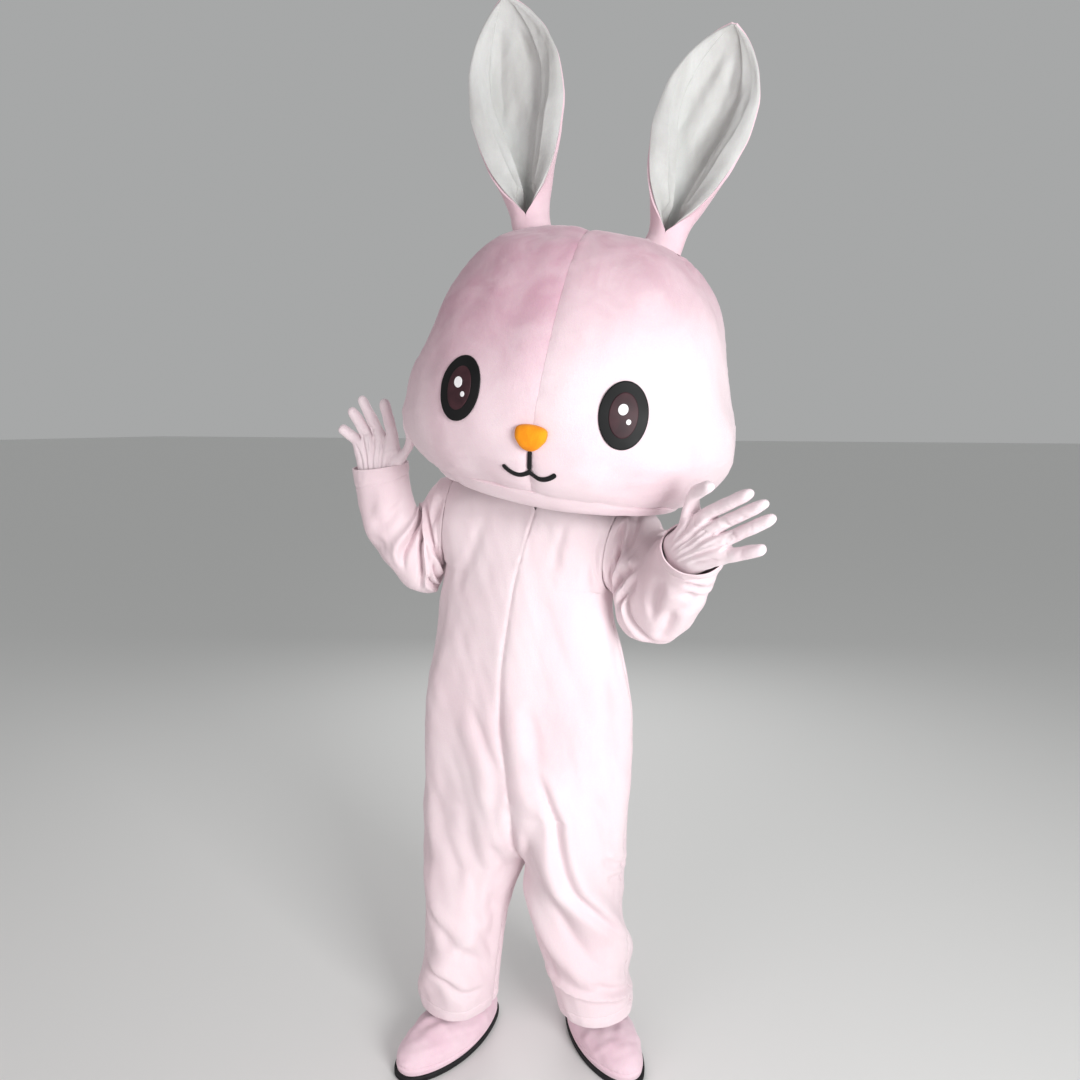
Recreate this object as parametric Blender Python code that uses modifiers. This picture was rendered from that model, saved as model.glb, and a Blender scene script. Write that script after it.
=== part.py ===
"""Rabbit mascot costume: padded head with two ears, one-piece suit, gloves and shoes.

Everything is modelled in metres above the floor and then hung on one empty, so that the
world origin is the middle of the neck opening, where the wearer carries the costume.
The costume faces -Y. Its left side is at +X.
"""
import math

import bpy
import numpy as np
from mathutils import Matrix, Vector

# Driving sizes
WEARER_AT = (0.025, 0.0, 1.28)
CLOTH = 0.0028
SEAM_GAP = 0.0003
HEAD_WALL = 0.015

SIDES = {"right": -1, "left": 1}

# Suit: torso sections
TORSO_COLUMNS = ("height", "centre_x", "seam_x", "half_width", "front", "back")
TORSO = [
    (1.270, 0.018, 0.050, 0.200, 0.085, 0.085),
    (1.180, 0.006, 0.030, 0.192, 0.112, 0.105),
    (1.090, -0.006, 0.010, 0.190, 0.124, 0.112),
    (1.000, -0.016, -0.004, 0.198, 0.130, 0.116),
    (0.900, -0.017, -0.016, 0.217, 0.136, 0.122),
    (0.800, -0.016, -0.018, 0.233, 0.142, 0.130),
    (0.680, -0.018, -0.006, 0.237, 0.142, 0.136),
    (0.560, -0.018, 0.004, 0.237, 0.136, 0.132),
    (0.450, -0.018, 0.000, 0.232, 0.124, 0.124),
]
NECK_SIDE = 0.085
NECK_HEIGHT = 1.318
NECK_FRONT_HEIGHT = 1.250
SHOULDER_SIDE = 0.190
SHOULDER_HEIGHT = 1.272
UNDERARM_HEIGHT = 1.090
ARMHOLE_DEPTH = 0.078
SHOULDER_TILT = 0.16
FRONT_RISE_TOP = 0.600
BACK_RISE_TOP = 0.640
CROTCH_HEIGHT = 0.450

# Suit: leg sections, a row for each height on each side
LEG_COLUMNS = ("height", "centre_x", "centre_y", "half_width", "half_depth")
LEGS = {
    "right": [
        (0.450, -0.125, 0.000, 0.125, 0.124),
        (0.330, -0.146, -0.020, 0.096, 0.108),
        (0.220, -0.154, -0.036, 0.089, 0.098),
        (0.140, -0.160, -0.043, 0.088, 0.094),
        (0.088, -0.165, -0.046, 0.087, 0.092),
    ],
    "left": [
        (0.450, 0.107, 0.000, 0.107, 0.124),
        (0.330, 0.105, 0.008, 0.100, 0.108),
        (0.220, 0.124, 0.018, 0.092, 0.100),
        (0.150, 0.136, 0.026, 0.087, 0.096),
        (0.098, 0.147, 0.030, 0.086, 0.094),
    ],
}

# Largest folds: where each ridge starts and ends round the suit, in quarters from the front
FOLD_COLUMNS = ("top", "top_at", "bottom", "bottom_at", "width", "depth")
FOLDS = [
    (0.640, 0.20, 0.500, 0.42, 0.10, 0.015),
    (0.500, 0.40, 0.180, 1.25, 0.14, 0.019),
    (0.420, 0.15, 0.210, 0.62, 0.11, 0.015),
    (0.200, 0.35, 0.140, 1.05, 0.12, 0.013),
    (1.060, 0.85, 0.760, 0.55, 0.13, 0.012),
    (0.980, 1.05, 0.620, 0.95, 0.14, 0.012),
    (0.420, -0.75, 0.120, -0.35, 0.13, 0.013),
    (0.300, -0.30, 0.110, -0.85, 0.12, 0.012),
    (0.900, -0.50, 0.480, -0.62, 0.15, 0.011),
    (0.560, -0.95, 0.260, -1.05, 0.15, 0.012),
    (0.600, -1.45, 0.330, -1.15, 0.16, 0.013),
    (0.600, 1.55, 0.340, 1.30, 0.16, 0.013),
    (0.260, -1.60, 0.130, -1.25, 0.14, 0.013),
    (0.240, 1.70, 0.130, 1.35, 0.14, 0.013),
    (1.020, -1.55, 0.820, -1.75, 0.16, 0.012),
    (1.040, 1.60, 0.840, 1.75, 0.16, 0.012),
]

# Sleeves: the near side of the bend and the far side, section by section from the armhole
SLEEVE_COLUMNS = ("near_x", "near_y", "near_z", "far_x", "far_y", "far_z", "half_depth")
SLEEVES = {
    "right": [
        (-0.212, 0.000, 1.296, -0.205, 0.000, 1.098, 0.073),
        (-0.235, -0.005, 1.270, -0.214, -0.005, 1.058, 0.068),
        (-0.249, -0.012, 1.244, -0.238, -0.015, 1.038, 0.065),
        (-0.257, -0.020, 1.230, -0.275, -0.030, 1.047, 0.064),
        (-0.262, -0.024, 1.230, -0.313, -0.045, 1.086, 0.063),
        (-0.266, -0.027, 1.240, -0.347, -0.055, 1.135, 0.062),
        (-0.269, -0.031, 1.262, -0.370, -0.065, 1.192, 0.061),
        (-0.271, -0.036, 1.290, -0.379, -0.075, 1.248, 0.059),
        (-0.272, -0.040, 1.333, -0.384, -0.086, 1.318, 0.058),
    ],
    "left": [
        (0.246, 0.000, 1.244, 0.218, 0.000, 1.045, 0.073),
        (0.270, -0.010, 1.226, 0.220, -0.010, 0.998, 0.070),
        (0.288, -0.028, 1.206, 0.246, -0.020, 0.974, 0.068),
        (0.299, -0.048, 1.197, 0.286, -0.042, 0.974, 0.067),
        (0.305, -0.066, 1.195, 0.330, -0.068, 1.000, 0.066),
        (0.310, -0.088, 1.197, 0.364, -0.100, 1.050, 0.064),
        (0.316, -0.115, 1.201, 0.392, -0.135, 1.100, 0.060),
        (0.322, -0.145, 1.210, 0.414, -0.168, 1.138, 0.058),
        (0.328, -0.174, 1.220, 0.434, -0.198, 1.171, 0.057),
    ],
}

# Head: sections from the crown down to the neck opening, in the head's own frame
HEAD_AT = (0.115, -0.037, 1.515)
HEAD_TURN = 6.0
HEAD_ROLL = 9.5
HEAD_SQUARE = 2.25
HEAD_COLUMNS = ("height", "half_width", "front", "back")
HEAD = [
    (0.262, 0.000, 0.000, 0.000),
    (0.260, 0.070, 0.060, 0.060),
    (0.252, 0.135, 0.115, 0.112),
    (0.228, 0.190, 0.165, 0.160),
    (0.190, 0.231, 0.203, 0.197),
    (0.130, 0.266, 0.240, 0.233),
    (0.060, 0.288, 0.266, 0.256),
    (-0.010, 0.307, 0.284, 0.268),
    (-0.070, 0.327, 0.294, 0.272),
    (-0.120, 0.333, 0.292, 0.266),
    (-0.165, 0.316, 0.276, 0.248),
    (-0.200, 0.286, 0.252, 0.224),
    (-0.226, 0.250, 0.226, 0.198),
]
BASE_COLUMNS = ("height", "half_width", "front", "back")
BASE = [
    (-0.226, 0.250, 0.226, 0.198),
    (-0.252, 0.240, 0.192, 0.184),
    (-0.260, 0.230, 0.152, 0.170),
]
BASE_SIDE_RISE = 0.036

# Ears: sections from the foot to the tip, in the ear's own frame
EAR_AT = (0.127, 0.005, 0.240)
EAR_LEAN = {"right": 17.5, "left": 7.0}
EAR_LENGTH = {"right": 0.468, "left": 0.428}
EAR_BREADTH = {"right": 1.05, "left": 1.0}
EAR_SHEET = 0.004
EAR_EDGE = 0.95
EAR_COLUMNS = ("share", "half_width", "roll")
EAR = [
    (0.000, 0.037, 178.5),
    (0.080, 0.036, 178.0),
    (0.120, 0.038, 160.0),
    (0.200, 0.049, 124.0),
    (0.300, 0.066, 96.0),
    (0.420, 0.083, 76.0),
    (0.560, 0.094, 64.0),
    (0.700, 0.091, 56.0),
    (0.820, 0.075, 50.0),
    (0.910, 0.052, 44.0),
    (0.970, 0.027, 38.0),
    (1.000, 0.004, 34.0),
]
EAR_ROWS = [0.0, 0.07, 0.11, 0.16, 0.23, 0.31, 0.40, 0.50, 0.60, 0.70, 0.79, 0.87, 0.93, 0.97, 0.99]
EAR_RIM = 0.014

# Face, as seen from the front of the head
# Each eye: across, up, half width, half height, lean in degrees
EYES = {
    "right": (-0.145, -0.063, 0.0400, 0.0575, 5.0),
    "left": (0.145, -0.063, 0.0400, 0.0575, -5.0),
}
EYE_PLATE = 0.0020
NOSE = (0.0, -0.117, 0.028, 0.024, 0.015)
MOUTH_STROKE = 0.008
MOUTH_THICK = 0.0018
MOUTH_HALF = 0.048
MOUTH_DROP = 0.013

# Gloves: the palm and the five finger tips
# Each tip: finger, x, y, z
HANDS = {
    "right": {
        "wrist": (-0.329, -0.063, 1.300),
        "palm": (-0.325, -0.085, 1.385),
        "tips": [
            ("index", -0.291, -0.105, 1.466),
            ("middle", -0.336, -0.122, 1.472),
            ("ring", -0.362, -0.122, 1.448),
            ("little", -0.396, -0.112, 1.408),
            ("thumb", -0.236, -0.104, 1.430),
        ],
    },
    "left": {
        "wrist": (0.378, -0.184, 1.194),
        "palm": (0.430, -0.242, 1.230),
        "tips": [
            ("index", 0.489, -0.290, 1.307),
            ("middle", 0.514, -0.292, 1.292),
            ("ring", 0.526, -0.287, 1.268),
            ("little", 0.512, -0.276, 1.214),
            ("thumb", 0.423, -0.292, 1.318),
        ],
    },
}
PALM_HALF_WIDTH = 0.053
PALM_HALF_DEPTH = 0.023
FINGER_HALF = (0.0125, 0.0155)
THUMB_HALF = (0.0150, 0.0145)
# Each section of a finger: share of its length, size, shift to the thumb side
FINGER_SECTIONS = ((0.30, 1.0, 0.0), (0.80, 1.0, 0.0), (1.02, 0.66, 0.0))
THUMB_SECTIONS = ((0.40, 0.80, 0.024), (0.80, 1.0, 0.006), (1.02, 0.66, 0.0))
GLOVE_WALL = 0.0012

# Shoes
# Each shoe: toe x, toe y, heel x, heel y
SHOES = {
    "right": (-0.213, -0.232, -0.118, 0.040),
    "left": (0.268, -0.088, 0.060, 0.140),
}
SHOE_HALF_WIDTH = 0.062
SOLE_THICK = 0.014
SHOE_RIM = 0.098
SHOE_WALL = 0.006
ANKLE_HALF_WIDTH = 0.043
ANKLE_HALF_LENGTH = 0.048
ANKLE_FROM_HEEL = 0.075

COLOURS = {
    "pink plush": (0.84, 0.61, 0.67, 0.95),
    "white plush": (0.86, 0.86, 0.87, 0.95),
    "pink jersey": (0.82, 0.56, 0.64, 0.90),
    "black vinyl": (0.012, 0.012, 0.013, 0.35),
    "brown vinyl": (0.045, 0.020, 0.024, 0.30),
    "white vinyl": (0.85, 0.85, 0.86, 0.30),
    "orange plush": (0.85, 0.27, 0.03, 0.90),
    "black rubber": (0.018, 0.018, 0.020, 0.70),
}


def clear_scene():
    """Removes whatever the open file holds."""
    for thing in list(bpy.data.objects):
        bpy.data.objects.remove(thing, do_unlink=True)


def material(name):
    """Gives one of the named finishes."""
    if name in bpy.data.materials:
        return bpy.data.materials[name]
    red, green, blue, rough = COLOURS[name]
    finish = bpy.data.materials.new(name)
    finish.use_nodes = True
    shader = finish.node_tree.nodes["Principled BSDF"]
    shader.inputs["Base Color"].default_value = (red, green, blue, 1)
    shader.inputs["Roughness"].default_value = rough
    shader.inputs["Metallic"].default_value = 0
    finish.diffuse_color = (red, green, blue, 1)
    return finish


def smooth(start, end, at):
    """Eases from 0 at start to 1 at end."""
    share = min(1.0, max(0.0, (at - start) / (end - start)))
    return share * share * (3 - 2 * share)


def mix(first, second, share):
    return first * (1 - share) + second * share


def sample(rows, columns, name, at):
    """Reads a named column at a value of the first column, on a smooth curve through the rows."""
    column = columns.index(name)
    keys = [row[0] for row in rows]
    values = [row[column] for row in rows]
    if keys[0] > keys[-1]:
        keys = keys[::-1]
        values = values[::-1]
    if at <= keys[0]:
        return values[0]
    if at >= keys[-1]:
        return values[-1]
    slopes = [(values[i + 1] - values[i]) / (keys[i + 1] - keys[i]) for i in range(len(keys) - 1)]
    tangents = [slopes[0]]
    for before, after in zip(slopes, slopes[1:]):
        tangents.append(0.0 if before * after <= 0 else 2 * before * after / (before + after))
    tangents.append(slopes[-1])
    i = max(j for j in range(len(keys) - 1) if keys[j] <= at)
    span = keys[i + 1] - keys[i]
    t = (at - keys[i]) / span
    start = values[i] * (2 * t**3 - 3 * t**2 + 1) + tangents[i] * span * (t**3 - 2 * t**2 + t)
    end = values[i + 1] * (3 * t**2 - 2 * t**3) + tangents[i + 1] * span * (t**3 - t**2)
    return start + end


def unit(vector):
    length = np.linalg.norm(vector)
    return vector / length if length > 0 else vector


def add_object(name, points, faces, finish):
    """Makes one closed mesh object with its faces turned outwards."""
    mesh = bpy.data.meshes.new(name)
    mesh.from_pydata([tuple(map(float, p)) for p in points], [], faces)
    mesh.update()
    volume = 0.0
    for face in faces:
        corners = [np.asarray(points[i], float) for i in face]
        for second, third in zip(corners[1:], corners[2:]):
            volume += float(np.dot(corners[0], np.cross(second, third)))
    if volume < 0:
        mesh.flip_normals()
    mesh.materials.append(material(finish))
    for polygon in mesh.polygons:
        polygon.use_smooth = True
    thing = bpy.data.objects.new(name, mesh)
    bpy.context.scene.collection.objects.link(thing)
    return thing


def add_wall(name, outer, inner, finish, round_columns=False, pole=False):
    """Closes two matching grids of points into one wall with rims along its free edges."""
    rows, columns = outer.shape[:2]
    points = []
    index = np.zeros((2, rows, columns), int)
    for side, grid in enumerate((outer, inner)):
        for r in range(rows):
            for c in range(columns):
                if pole and r == 0 and c > 0:
                    index[side, r, c] = index[side, 0, 0]
                    continue
                index[side, r, c] = len(points)
                points.append(grid[r, c])
    faces = []
    steps = columns if round_columns else columns - 1
    for r in range(rows - 1):
        for c in range(steps):
            d = (c + 1) % columns
            for side in (0, 1):
                quad = [index[side, r, c], index[side, r + 1, c], index[side, r + 1, d], index[side, r, d]]
                if side:
                    quad = [quad[0], quad[3], quad[2], quad[1]]
                faces.append(quad)
    for c in range(steps):
        d = (c + 1) % columns
        if not pole:
            faces.append([index[0, 0, c], index[0, 0, d], index[1, 0, d], index[1, 0, c]])
        last = rows - 1
        faces.append([index[1, last, c], index[1, last, d], index[0, last, d], index[0, last, c]])
    if not round_columns:
        last = columns - 1
        for r in range(rows - 1):
            faces.append([index[1, r, 0], index[1, r + 1, 0], index[0, r + 1, 0], index[0, r, 0]])
            faces.append([index[0, r, last], index[0, r + 1, last], index[1, r + 1, last], index[1, r, last]])
    clean = []
    for face in faces:
        corners = [int(i) for n, i in enumerate(face) if i != face[n - 1]]
        if len(corners) > 2:
            clean.append(corners)
    return add_object(name, points, clean, finish)


def tilt(point):
    """Leans the shoulders: the left one sits lower than the right."""
    share = smooth(0.90, 1.20, point[2])
    return np.array([point[0], point[1], point[2] - SHOULDER_TILT * (point[0] - 0.018) * share])


def armhole(side, front, turn):
    """A point of the armhole: turn runs from 0 at the shoulder to 1 under the arm."""
    angle = math.pi * turn
    middle = (SHOULDER_HEIGHT + UNDERARM_HEIGHT) / 2
    half = (SHOULDER_HEIGHT - UNDERARM_HEIGHT) / 2
    height = middle + half * math.cos(angle)
    across = mix(SHOULDER_SIDE, sample(TORSO, TORSO_COLUMNS, "half_width", UNDERARM_HEIGHT), smooth(0, 1, turn))
    across -= 0.012 * math.sin(angle)
    centre = sample(TORSO, TORSO_COLUMNS, "centre_x", height)
    return np.array([centre + side * across, -front * ARMHOLE_DEPTH * math.sin(angle), height])


def neckline(side, front, turn):
    """A point of the neckline: turn runs from 0 at the shoulder seam to 1 at the centre seam."""
    angle = math.pi / 2 * turn
    height = mix(NECK_HEIGHT, NECK_FRONT_HEIGHT + (0.0 if front > 0 else 0.03), 1 - math.cos(angle))
    centre = mix(0.025, sample(TORSO, TORSO_COLUMNS, "seam_x", NECK_FRONT_HEIGHT), turn)
    depth = sample(TORSO, TORSO_COLUMNS, "front", NECK_FRONT_HEIGHT)
    return np.array([centre + side * NECK_SIDE * math.cos(angle), -front * depth * math.sin(angle), height])


ARMHOLE_END = 1.0
TORSO_END = 2.0
RISE_END = 3.0
LEG_END = 4.0
NECK_SHARE = 0.42


def panel_point(side, front, u, v):
    """The suit's outer surface without folds.

    side is +1 for the left, front is +1 for the front. u runs from the centre seam or the inseam
    to the side seam, and v from the shoulder (0) past the underarm (1), the top of the rise (2)
    and the crotch (3) to the hem (4).
    """
    name = "left" if side > 0 else "right"
    column = "front" if front > 0 else "back"
    rise = FRONT_RISE_TOP if front > 0 else BACK_RISE_TOP
    turned = math.pi / 2
    if v <= ARMHOLE_END:
        outer = armhole(side, front, v)
        if v <= NECK_SHARE:
            inner = neckline(side, front, v / NECK_SHARE)
        else:
            start = neckline(side, front, 1.0)[2]
            height = mix(start, UNDERARM_HEIGHT, (v - NECK_SHARE) / (1 - NECK_SHARE))
            depth = sample(TORSO, TORSO_COLUMNS, column, height)
            inner = np.array([sample(TORSO, TORSO_COLUMNS, "seam_x", height), -front * depth, height])
        fullness = smooth(0.0, 1.0, v)
        across = mix(u, math.sin(u * math.pi / 2), fullness)
        inward = mix(1 - u, math.cos(u * math.pi / 2), fullness)
        swell = front * -0.018 * math.sin(math.pi * u) * math.sin(math.pi * min(1.0, v)) * (1 - fullness)
        x = mix(inner[0], outer[0], across)
        y = outer[1] + (inner[1] - outer[1]) * inward + swell
        z = mix(inner[2], outer[2], across)
        return tilt(np.array([x, y, z]))
    if v <= RISE_END:
        if v <= TORSO_END:
            height = mix(UNDERARM_HEIGHT, rise, v - ARMHOLE_END)
        else:
            quarter = (v - TORSO_END) * math.pi / 2
            height = rise - (rise - CROTCH_HEIGHT) * math.sin(quarter)
            turned = math.pi / 2 - quarter
        centre = sample(TORSO, TORSO_COLUMNS, "centre_x", height)
        half = sample(TORSO, TORSO_COLUMNS, "half_width", height)
        depth = sample(TORSO, TORSO_COLUMNS, column, height)
        start_x = sample(TORSO, TORSO_COLUMNS, "seam_x", height)
        end_x = centre + side * half
        middle_y = 0.0
    else:
        height = mix(CROTCH_HEIGHT, LEGS[name][-1][0], v - RISE_END)
        turned = 0.0
        rows = LEGS[name]
        middle = sample(rows, LEG_COLUMNS, "centre_x", height)
        half = sample(rows, LEG_COLUMNS, "half_width", height)
        depth = sample(rows, LEG_COLUMNS, "half_depth", height)
        start_x = middle - side * half
        end_x = middle + side * half
        middle_y = sample(rows, LEG_COLUMNS, "centre_y", height)
    angle = mix(turned, math.pi, u)
    across = (math.cos(turned) - math.cos(angle)) / (1 + math.cos(turned))
    x = mix(start_x, end_x, across)
    y = middle_y - front * depth * math.sin(angle)
    return tilt(np.array([x, y, height]))


def panel_normal(side, front, u, v):
    """The outward direction of the suit there, the same on both sides of every seam."""
    if v == 0:
        along = panel_point(side, front, 1, 0) - panel_point(side, front, 0, 0)
        return unit(np.array([-along[2], 0.0, along[0]]) * side)
    if u == 0 and v == RISE_END:
        return unit(np.array([-side, 0.0, -1.0]))
    nudge = 0.002
    u_low, u_high = max(0.0, u - nudge), min(1.0, u + nudge)
    v_low, v_high = max(0.0, v - nudge), min(LEG_END, v + nudge)
    if u == 0 and TORSO_END < v < RISE_END:
        v_high = min(v_high, RISE_END)
    along = panel_point(side, front, u_high, v) - panel_point(side, front, u_low, v)
    down = panel_point(side, front, u, v_high) - panel_point(side, front, u, v_low)
    normal = unit(np.cross(down, along) * side * front)
    if u == 1 and v >= ARMHOLE_END:
        normal[1] = 0.0
    if u == 0 and NECK_SHARE < v <= TORSO_END:
        normal[0] = 0.0
    if u == 0 and v > RISE_END:
        normal[1] = 0.0
    return unit(normal)


def fold_height(side, front, u, v):
    """How far the folds lift the cloth there."""
    point = panel_point(side, front, u, v)
    at = side * (u if front > 0 else 2 - u)
    lift = 0.0
    for row in FOLDS:
        fold = dict(zip(FOLD_COLUMNS, row))
        share = (fold["top"] - point[2]) / (fold["top"] - fold["bottom"])
        if -0.25 < share < 1.25:
            middle = mix(fold["top_at"], fold["bottom_at"], share)
            fade = smooth(-0.25, 0.15, share) * (1 - smooth(0.85, 1.25, share))
            lift += fold["depth"] * fade * math.exp(-(((at - middle) / fold["width"]) ** 2))
    edge = smooth(0.0, 0.16, u)
    return lift * mix(1.0, edge, smooth(1.6, 2.4, v)) * smooth(0.95, 1.35, v)


def panel_rows():
    """Where the rows of a suit panel lie, from the shoulder to the hem."""
    rows = [i / 7 for i in range(8)]
    rows += [ARMHOLE_END + i / 8 for i in range(1, 9)]
    rows += [TORSO_END + i / 4 for i in range(1, 5)]
    rows += [RISE_END + i / 9 for i in range(1, 10)]
    return rows


def make_suit():
    """Front and back panels, each from the shoulder to the hem."""
    across = [i / 10 for i in range(11)]
    rows = panel_rows()
    made = []
    for name, side in SIDES.items():
        for place, front in (("front", 1), ("back", -1)):
            shift = np.array([side, -front, 0.0]) * SEAM_GAP / 2
            outer = np.zeros((len(rows), len(across), 3))
            inner = np.zeros_like(outer)
            for r, v in enumerate(rows):
                for c, u in enumerate(across):
                    base = panel_point(side, front, u, v) + shift
                    normal = panel_normal(side, front, u, v)
                    lift = fold_height(side, front, u, v)
                    outer[r, c] = base + normal * lift
                    inner[r, c] = base + normal * (lift - CLOTH)
            made.append(add_wall(f"suit_{place}_{name}", outer, inner, "pink plush"))
    return made


def armhole_ring(side, turn):
    """The armhole once round: 0 and 1 at the shoulder, 0.5 under the arm, going by the front."""
    front = 1 if turn <= 0.5 else -1
    along = 2 * turn if turn <= 0.5 else 2 - 2 * turn
    point = tilt(armhole(side, front, along))
    shift = np.array([side * 2.5, -front * min(1.0, 6 * along, 6 * (1 - along)) * 0.5, 0.0]) * SEAM_GAP
    return point + shift


def sleeve_frame(side, at):
    """Near point, far point and half depth of the sleeve section at a share of its length."""
    rows = SLEEVES["left" if side > 0 else "right"]
    place = at * (len(rows) - 1)
    keyed = [(i,) + row for i, row in enumerate(rows)]
    columns = ("order",) + SLEEVE_COLUMNS
    values = [sample(keyed, columns, column, place) for column in SLEEVE_COLUMNS]
    return np.array(values[0:3]), np.array(values[3:6]), values[6]


def sleeve_point(side, turn, at):
    """The sleeve's outer surface: turn goes round by the front, at from the first section to the cuff."""
    near, far, depth = sleeve_frame(side, at)
    near_a, far_a, _ = sleeve_frame(side, max(0.0, at - 0.05))
    near_b, far_b, _ = sleeve_frame(side, min(1.0, at + 0.05))
    along = unit((near_b + far_b) - (near_a + far_a))
    across = far - near
    sideways = unit(np.cross(across, along)) * side
    angle = 2 * math.pi * turn
    middle = (near + far) / 2
    return middle - across / 2 * math.cos(angle) + sideways * depth * math.sin(angle)


def sleeve_surface(side, turn, v):
    """The whole sleeve: v from 0 at the armhole over the first section at 0.12 to the cuff at 1."""
    join = 0.12
    if v >= join:
        return sleeve_point(side, turn, (v - join) / (1 - join))
    share = v / join
    start = armhole_ring(side, turn)
    end = sleeve_point(side, turn, 0.0)
    return mix(start, end, share)


def make_sleeves():
    """One tube a side, from the armhole round the bent elbow to the cuff."""
    columns = 16
    rows = [0.0, 0.06] + [0.12 + 0.88 * i / 14 for i in range(15)]
    made = []
    for name, side in SIDES.items():
        outer = np.zeros((len(rows), columns, 3))
        inner = np.zeros_like(outer)
        for r, v in enumerate(rows):
            ring = [sleeve_surface(side, c / columns, v) for c in range(columns)]
            middle = sum(ring) / columns
            for c in range(columns):
                tangent = ring[(c + 1) % columns] - ring[c - 1]
                ahead = sleeve_surface(side, c / columns, min(1.0, v + 0.02))
                behind = sleeve_surface(side, c / columns, max(0.0, v - 0.02))
                normal = unit(np.cross(tangent, ahead - behind))
                if np.dot(normal, ring[c] - middle) < 0:
                    normal = -normal
                if r == 0:
                    normal[0] = 0.0
                    normal = unit(normal)
                outer[r, c] = ring[c]
                inner[r, c] = ring[c] - normal * CLOTH
        made.append(add_wall(f"sleeve_{name}", outer, inner, "pink plush", round_columns=True))
    return made


def head_turn():
    """Rotation of the head: turned a little and rolled to the left shoulder."""
    turn = Matrix.Rotation(math.radians(HEAD_TURN), 3, "Z")
    roll = Matrix.Rotation(math.radians(HEAD_ROLL), 3, "Y")
    return np.array(turn @ roll)


def to_room(point):
    """From the head's own frame to the room."""
    return head_turn() @ np.asarray(point, float) + np.array(HEAD_AT)


def power(value, exponent):
    return math.copysign(abs(value) ** exponent, value)


def ring_point(rows, columns, order, angle):
    """A point of a squared-off section: angle 0 at the front, 90 degrees on the left."""
    keyed = [(i,) + row for i, row in enumerate(rows)]
    names = ("order",) + columns
    height = sample(keyed, names, "height", order)
    half = sample(keyed, names, "half_width", order)
    depth = sample(keyed, names, "front" if math.cos(angle) > 0 else "back", order)
    exponent = 2 / HEAD_SQUARE
    return np.array([half * power(math.sin(angle), exponent), -depth * power(math.cos(angle), exponent), height])


def head_point(order, angle):
    return ring_point(HEAD, HEAD_COLUMNS, order, angle)


def surface_normal(surface, first, second, inside, nudge=0.01):
    """Outward direction of a surface of two parameters, away from a point inside it."""
    along = surface(first, second + nudge) - surface(first, second - nudge)
    down = surface(first + nudge, second) - surface(first - nudge, second)
    normal = unit(np.cross(along, down))
    point = surface(first, second)
    return normal if np.dot(normal, point - inside) > 0 else -normal


def make_head():
    """Two halves of the head with their seam over the top, and the panel under it."""
    rows = len(HEAD)
    made = []
    for name, side in SIDES.items():
        angles = [side * math.pi * i / 16 for i in range(17)]
        outer = np.zeros((rows, len(angles), 3))
        inner = np.zeros_like(outer)
        for r in range(rows):
            for c, angle in enumerate(angles):
                point = head_point(r, angle)
                normal = np.array([0.0, 0.0, 1.0])
                if r > 0:
                    centre = np.array([0.0, 0.0, mix(point[2], 0.0, 0.5)])
                    normal = surface_normal(head_point, min(r, rows - 1.02), angle, centre)
                if c in (0, len(angles) - 1):
                    normal[0] = 0.0
                    normal = unit(normal)
                point = point + np.array([side * SEAM_GAP / 2, 0.0, 0.0])
                outer[r, c] = to_room(point)
                inner[r, c] = to_room(point - normal * HEAD_WALL)
        made.append(add_wall(f"head_{name}", outer, inner, "pink plush", pole=True))
    made.append(make_head_base())
    return made


def base_point(order, angle):
    """The panel under the head: its neck opening rises over each shoulder."""
    rise = BASE_SIDE_RISE * math.sin(angle) ** 2 * order / 2
    return ring_point(BASE, BASE_COLUMNS, order, angle) + np.array([0.0, 0.0, rise])


def make_head_base():
    """The panel under the head, with the oval neck opening."""
    columns = 32
    orders = [0.0, 0.6, 1.3, 2.0]
    outer = np.zeros((len(orders), columns, 3))
    inner = np.zeros_like(outer)
    last = len(HEAD) - 1.02
    for c in range(columns):
        angle = 2 * math.pi * c / columns
        seam = surface_normal(head_point, last, angle, np.array([0.0, 0.0, -0.1]))
        for r, order in enumerate(orders):
            point = base_point(order, angle)
            sideways = point * np.array([1.0, 1.0, 0.0])
            flat = unit(np.array([0.0, 0.0, -1.0]) + 0.25 * unit(sideways))
            normal = unit(mix(seam, flat, smooth(0.0, 1.0, order)))
            point = point - unit(sideways) * SEAM_GAP * 0.9 - np.array([0.0, 0.0, SEAM_GAP * 0.9])
            outer[r, c] = to_room(point)
            inner[r, c] = to_room(point - normal * HEAD_WALL)
    return add_wall("head_base", outer, inner, "pink plush", round_columns=True)


def ear_frame(name):
    """Rotation and foot of an ear in the head's frame, with its length along the ear."""
    side = SIDES[name]
    lean = Matrix.Rotation(math.radians(side * EAR_LEAN[name]), 3, "Y")
    size = np.array([EAR_BREADTH[name], 1.0, EAR_LENGTH[name]])
    return np.array(lean) * size, np.array([side * EAR_AT[0], EAR_AT[1], EAR_AT[2]])


def ear_point(across, share):
    """The ear's outer sheet in its own frame: across from -1 to 1 round the roll, share up the ear."""
    half = sample(EAR, EAR_COLUMNS, "half_width", share)
    roll = math.radians(sample(EAR, EAR_COLUMNS, "roll", share))
    radius = half / (math.sin(roll) if roll < math.pi / 2 else 1.0)
    angle = across * roll
    back = 0.030 * math.sin(math.pi * share)
    deep = radius * math.cos(angle) - min(radius, half)
    return np.array([radius * math.sin(angle), deep + back, share])


def ear_normal(across, share):
    """Outward direction of the ear's back."""
    nudge = 0.01
    size = np.array([1.0, 1.0, 0.45])
    along = (ear_point(across + nudge, share) - ear_point(across - nudge, share)) * size
    low, high = max(0.0, share - nudge), min(1.0, share + nudge)
    up = (ear_point(across, high) - ear_point(across, low)) * size
    return unit(np.cross(up, along))


def ear_reach(share):
    """How far round the roll the pink sheet goes: whole at the foot, short of the white rim above."""
    return mix(1.0, EAR_EDGE, smooth(0.10, 0.22, share))


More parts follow.
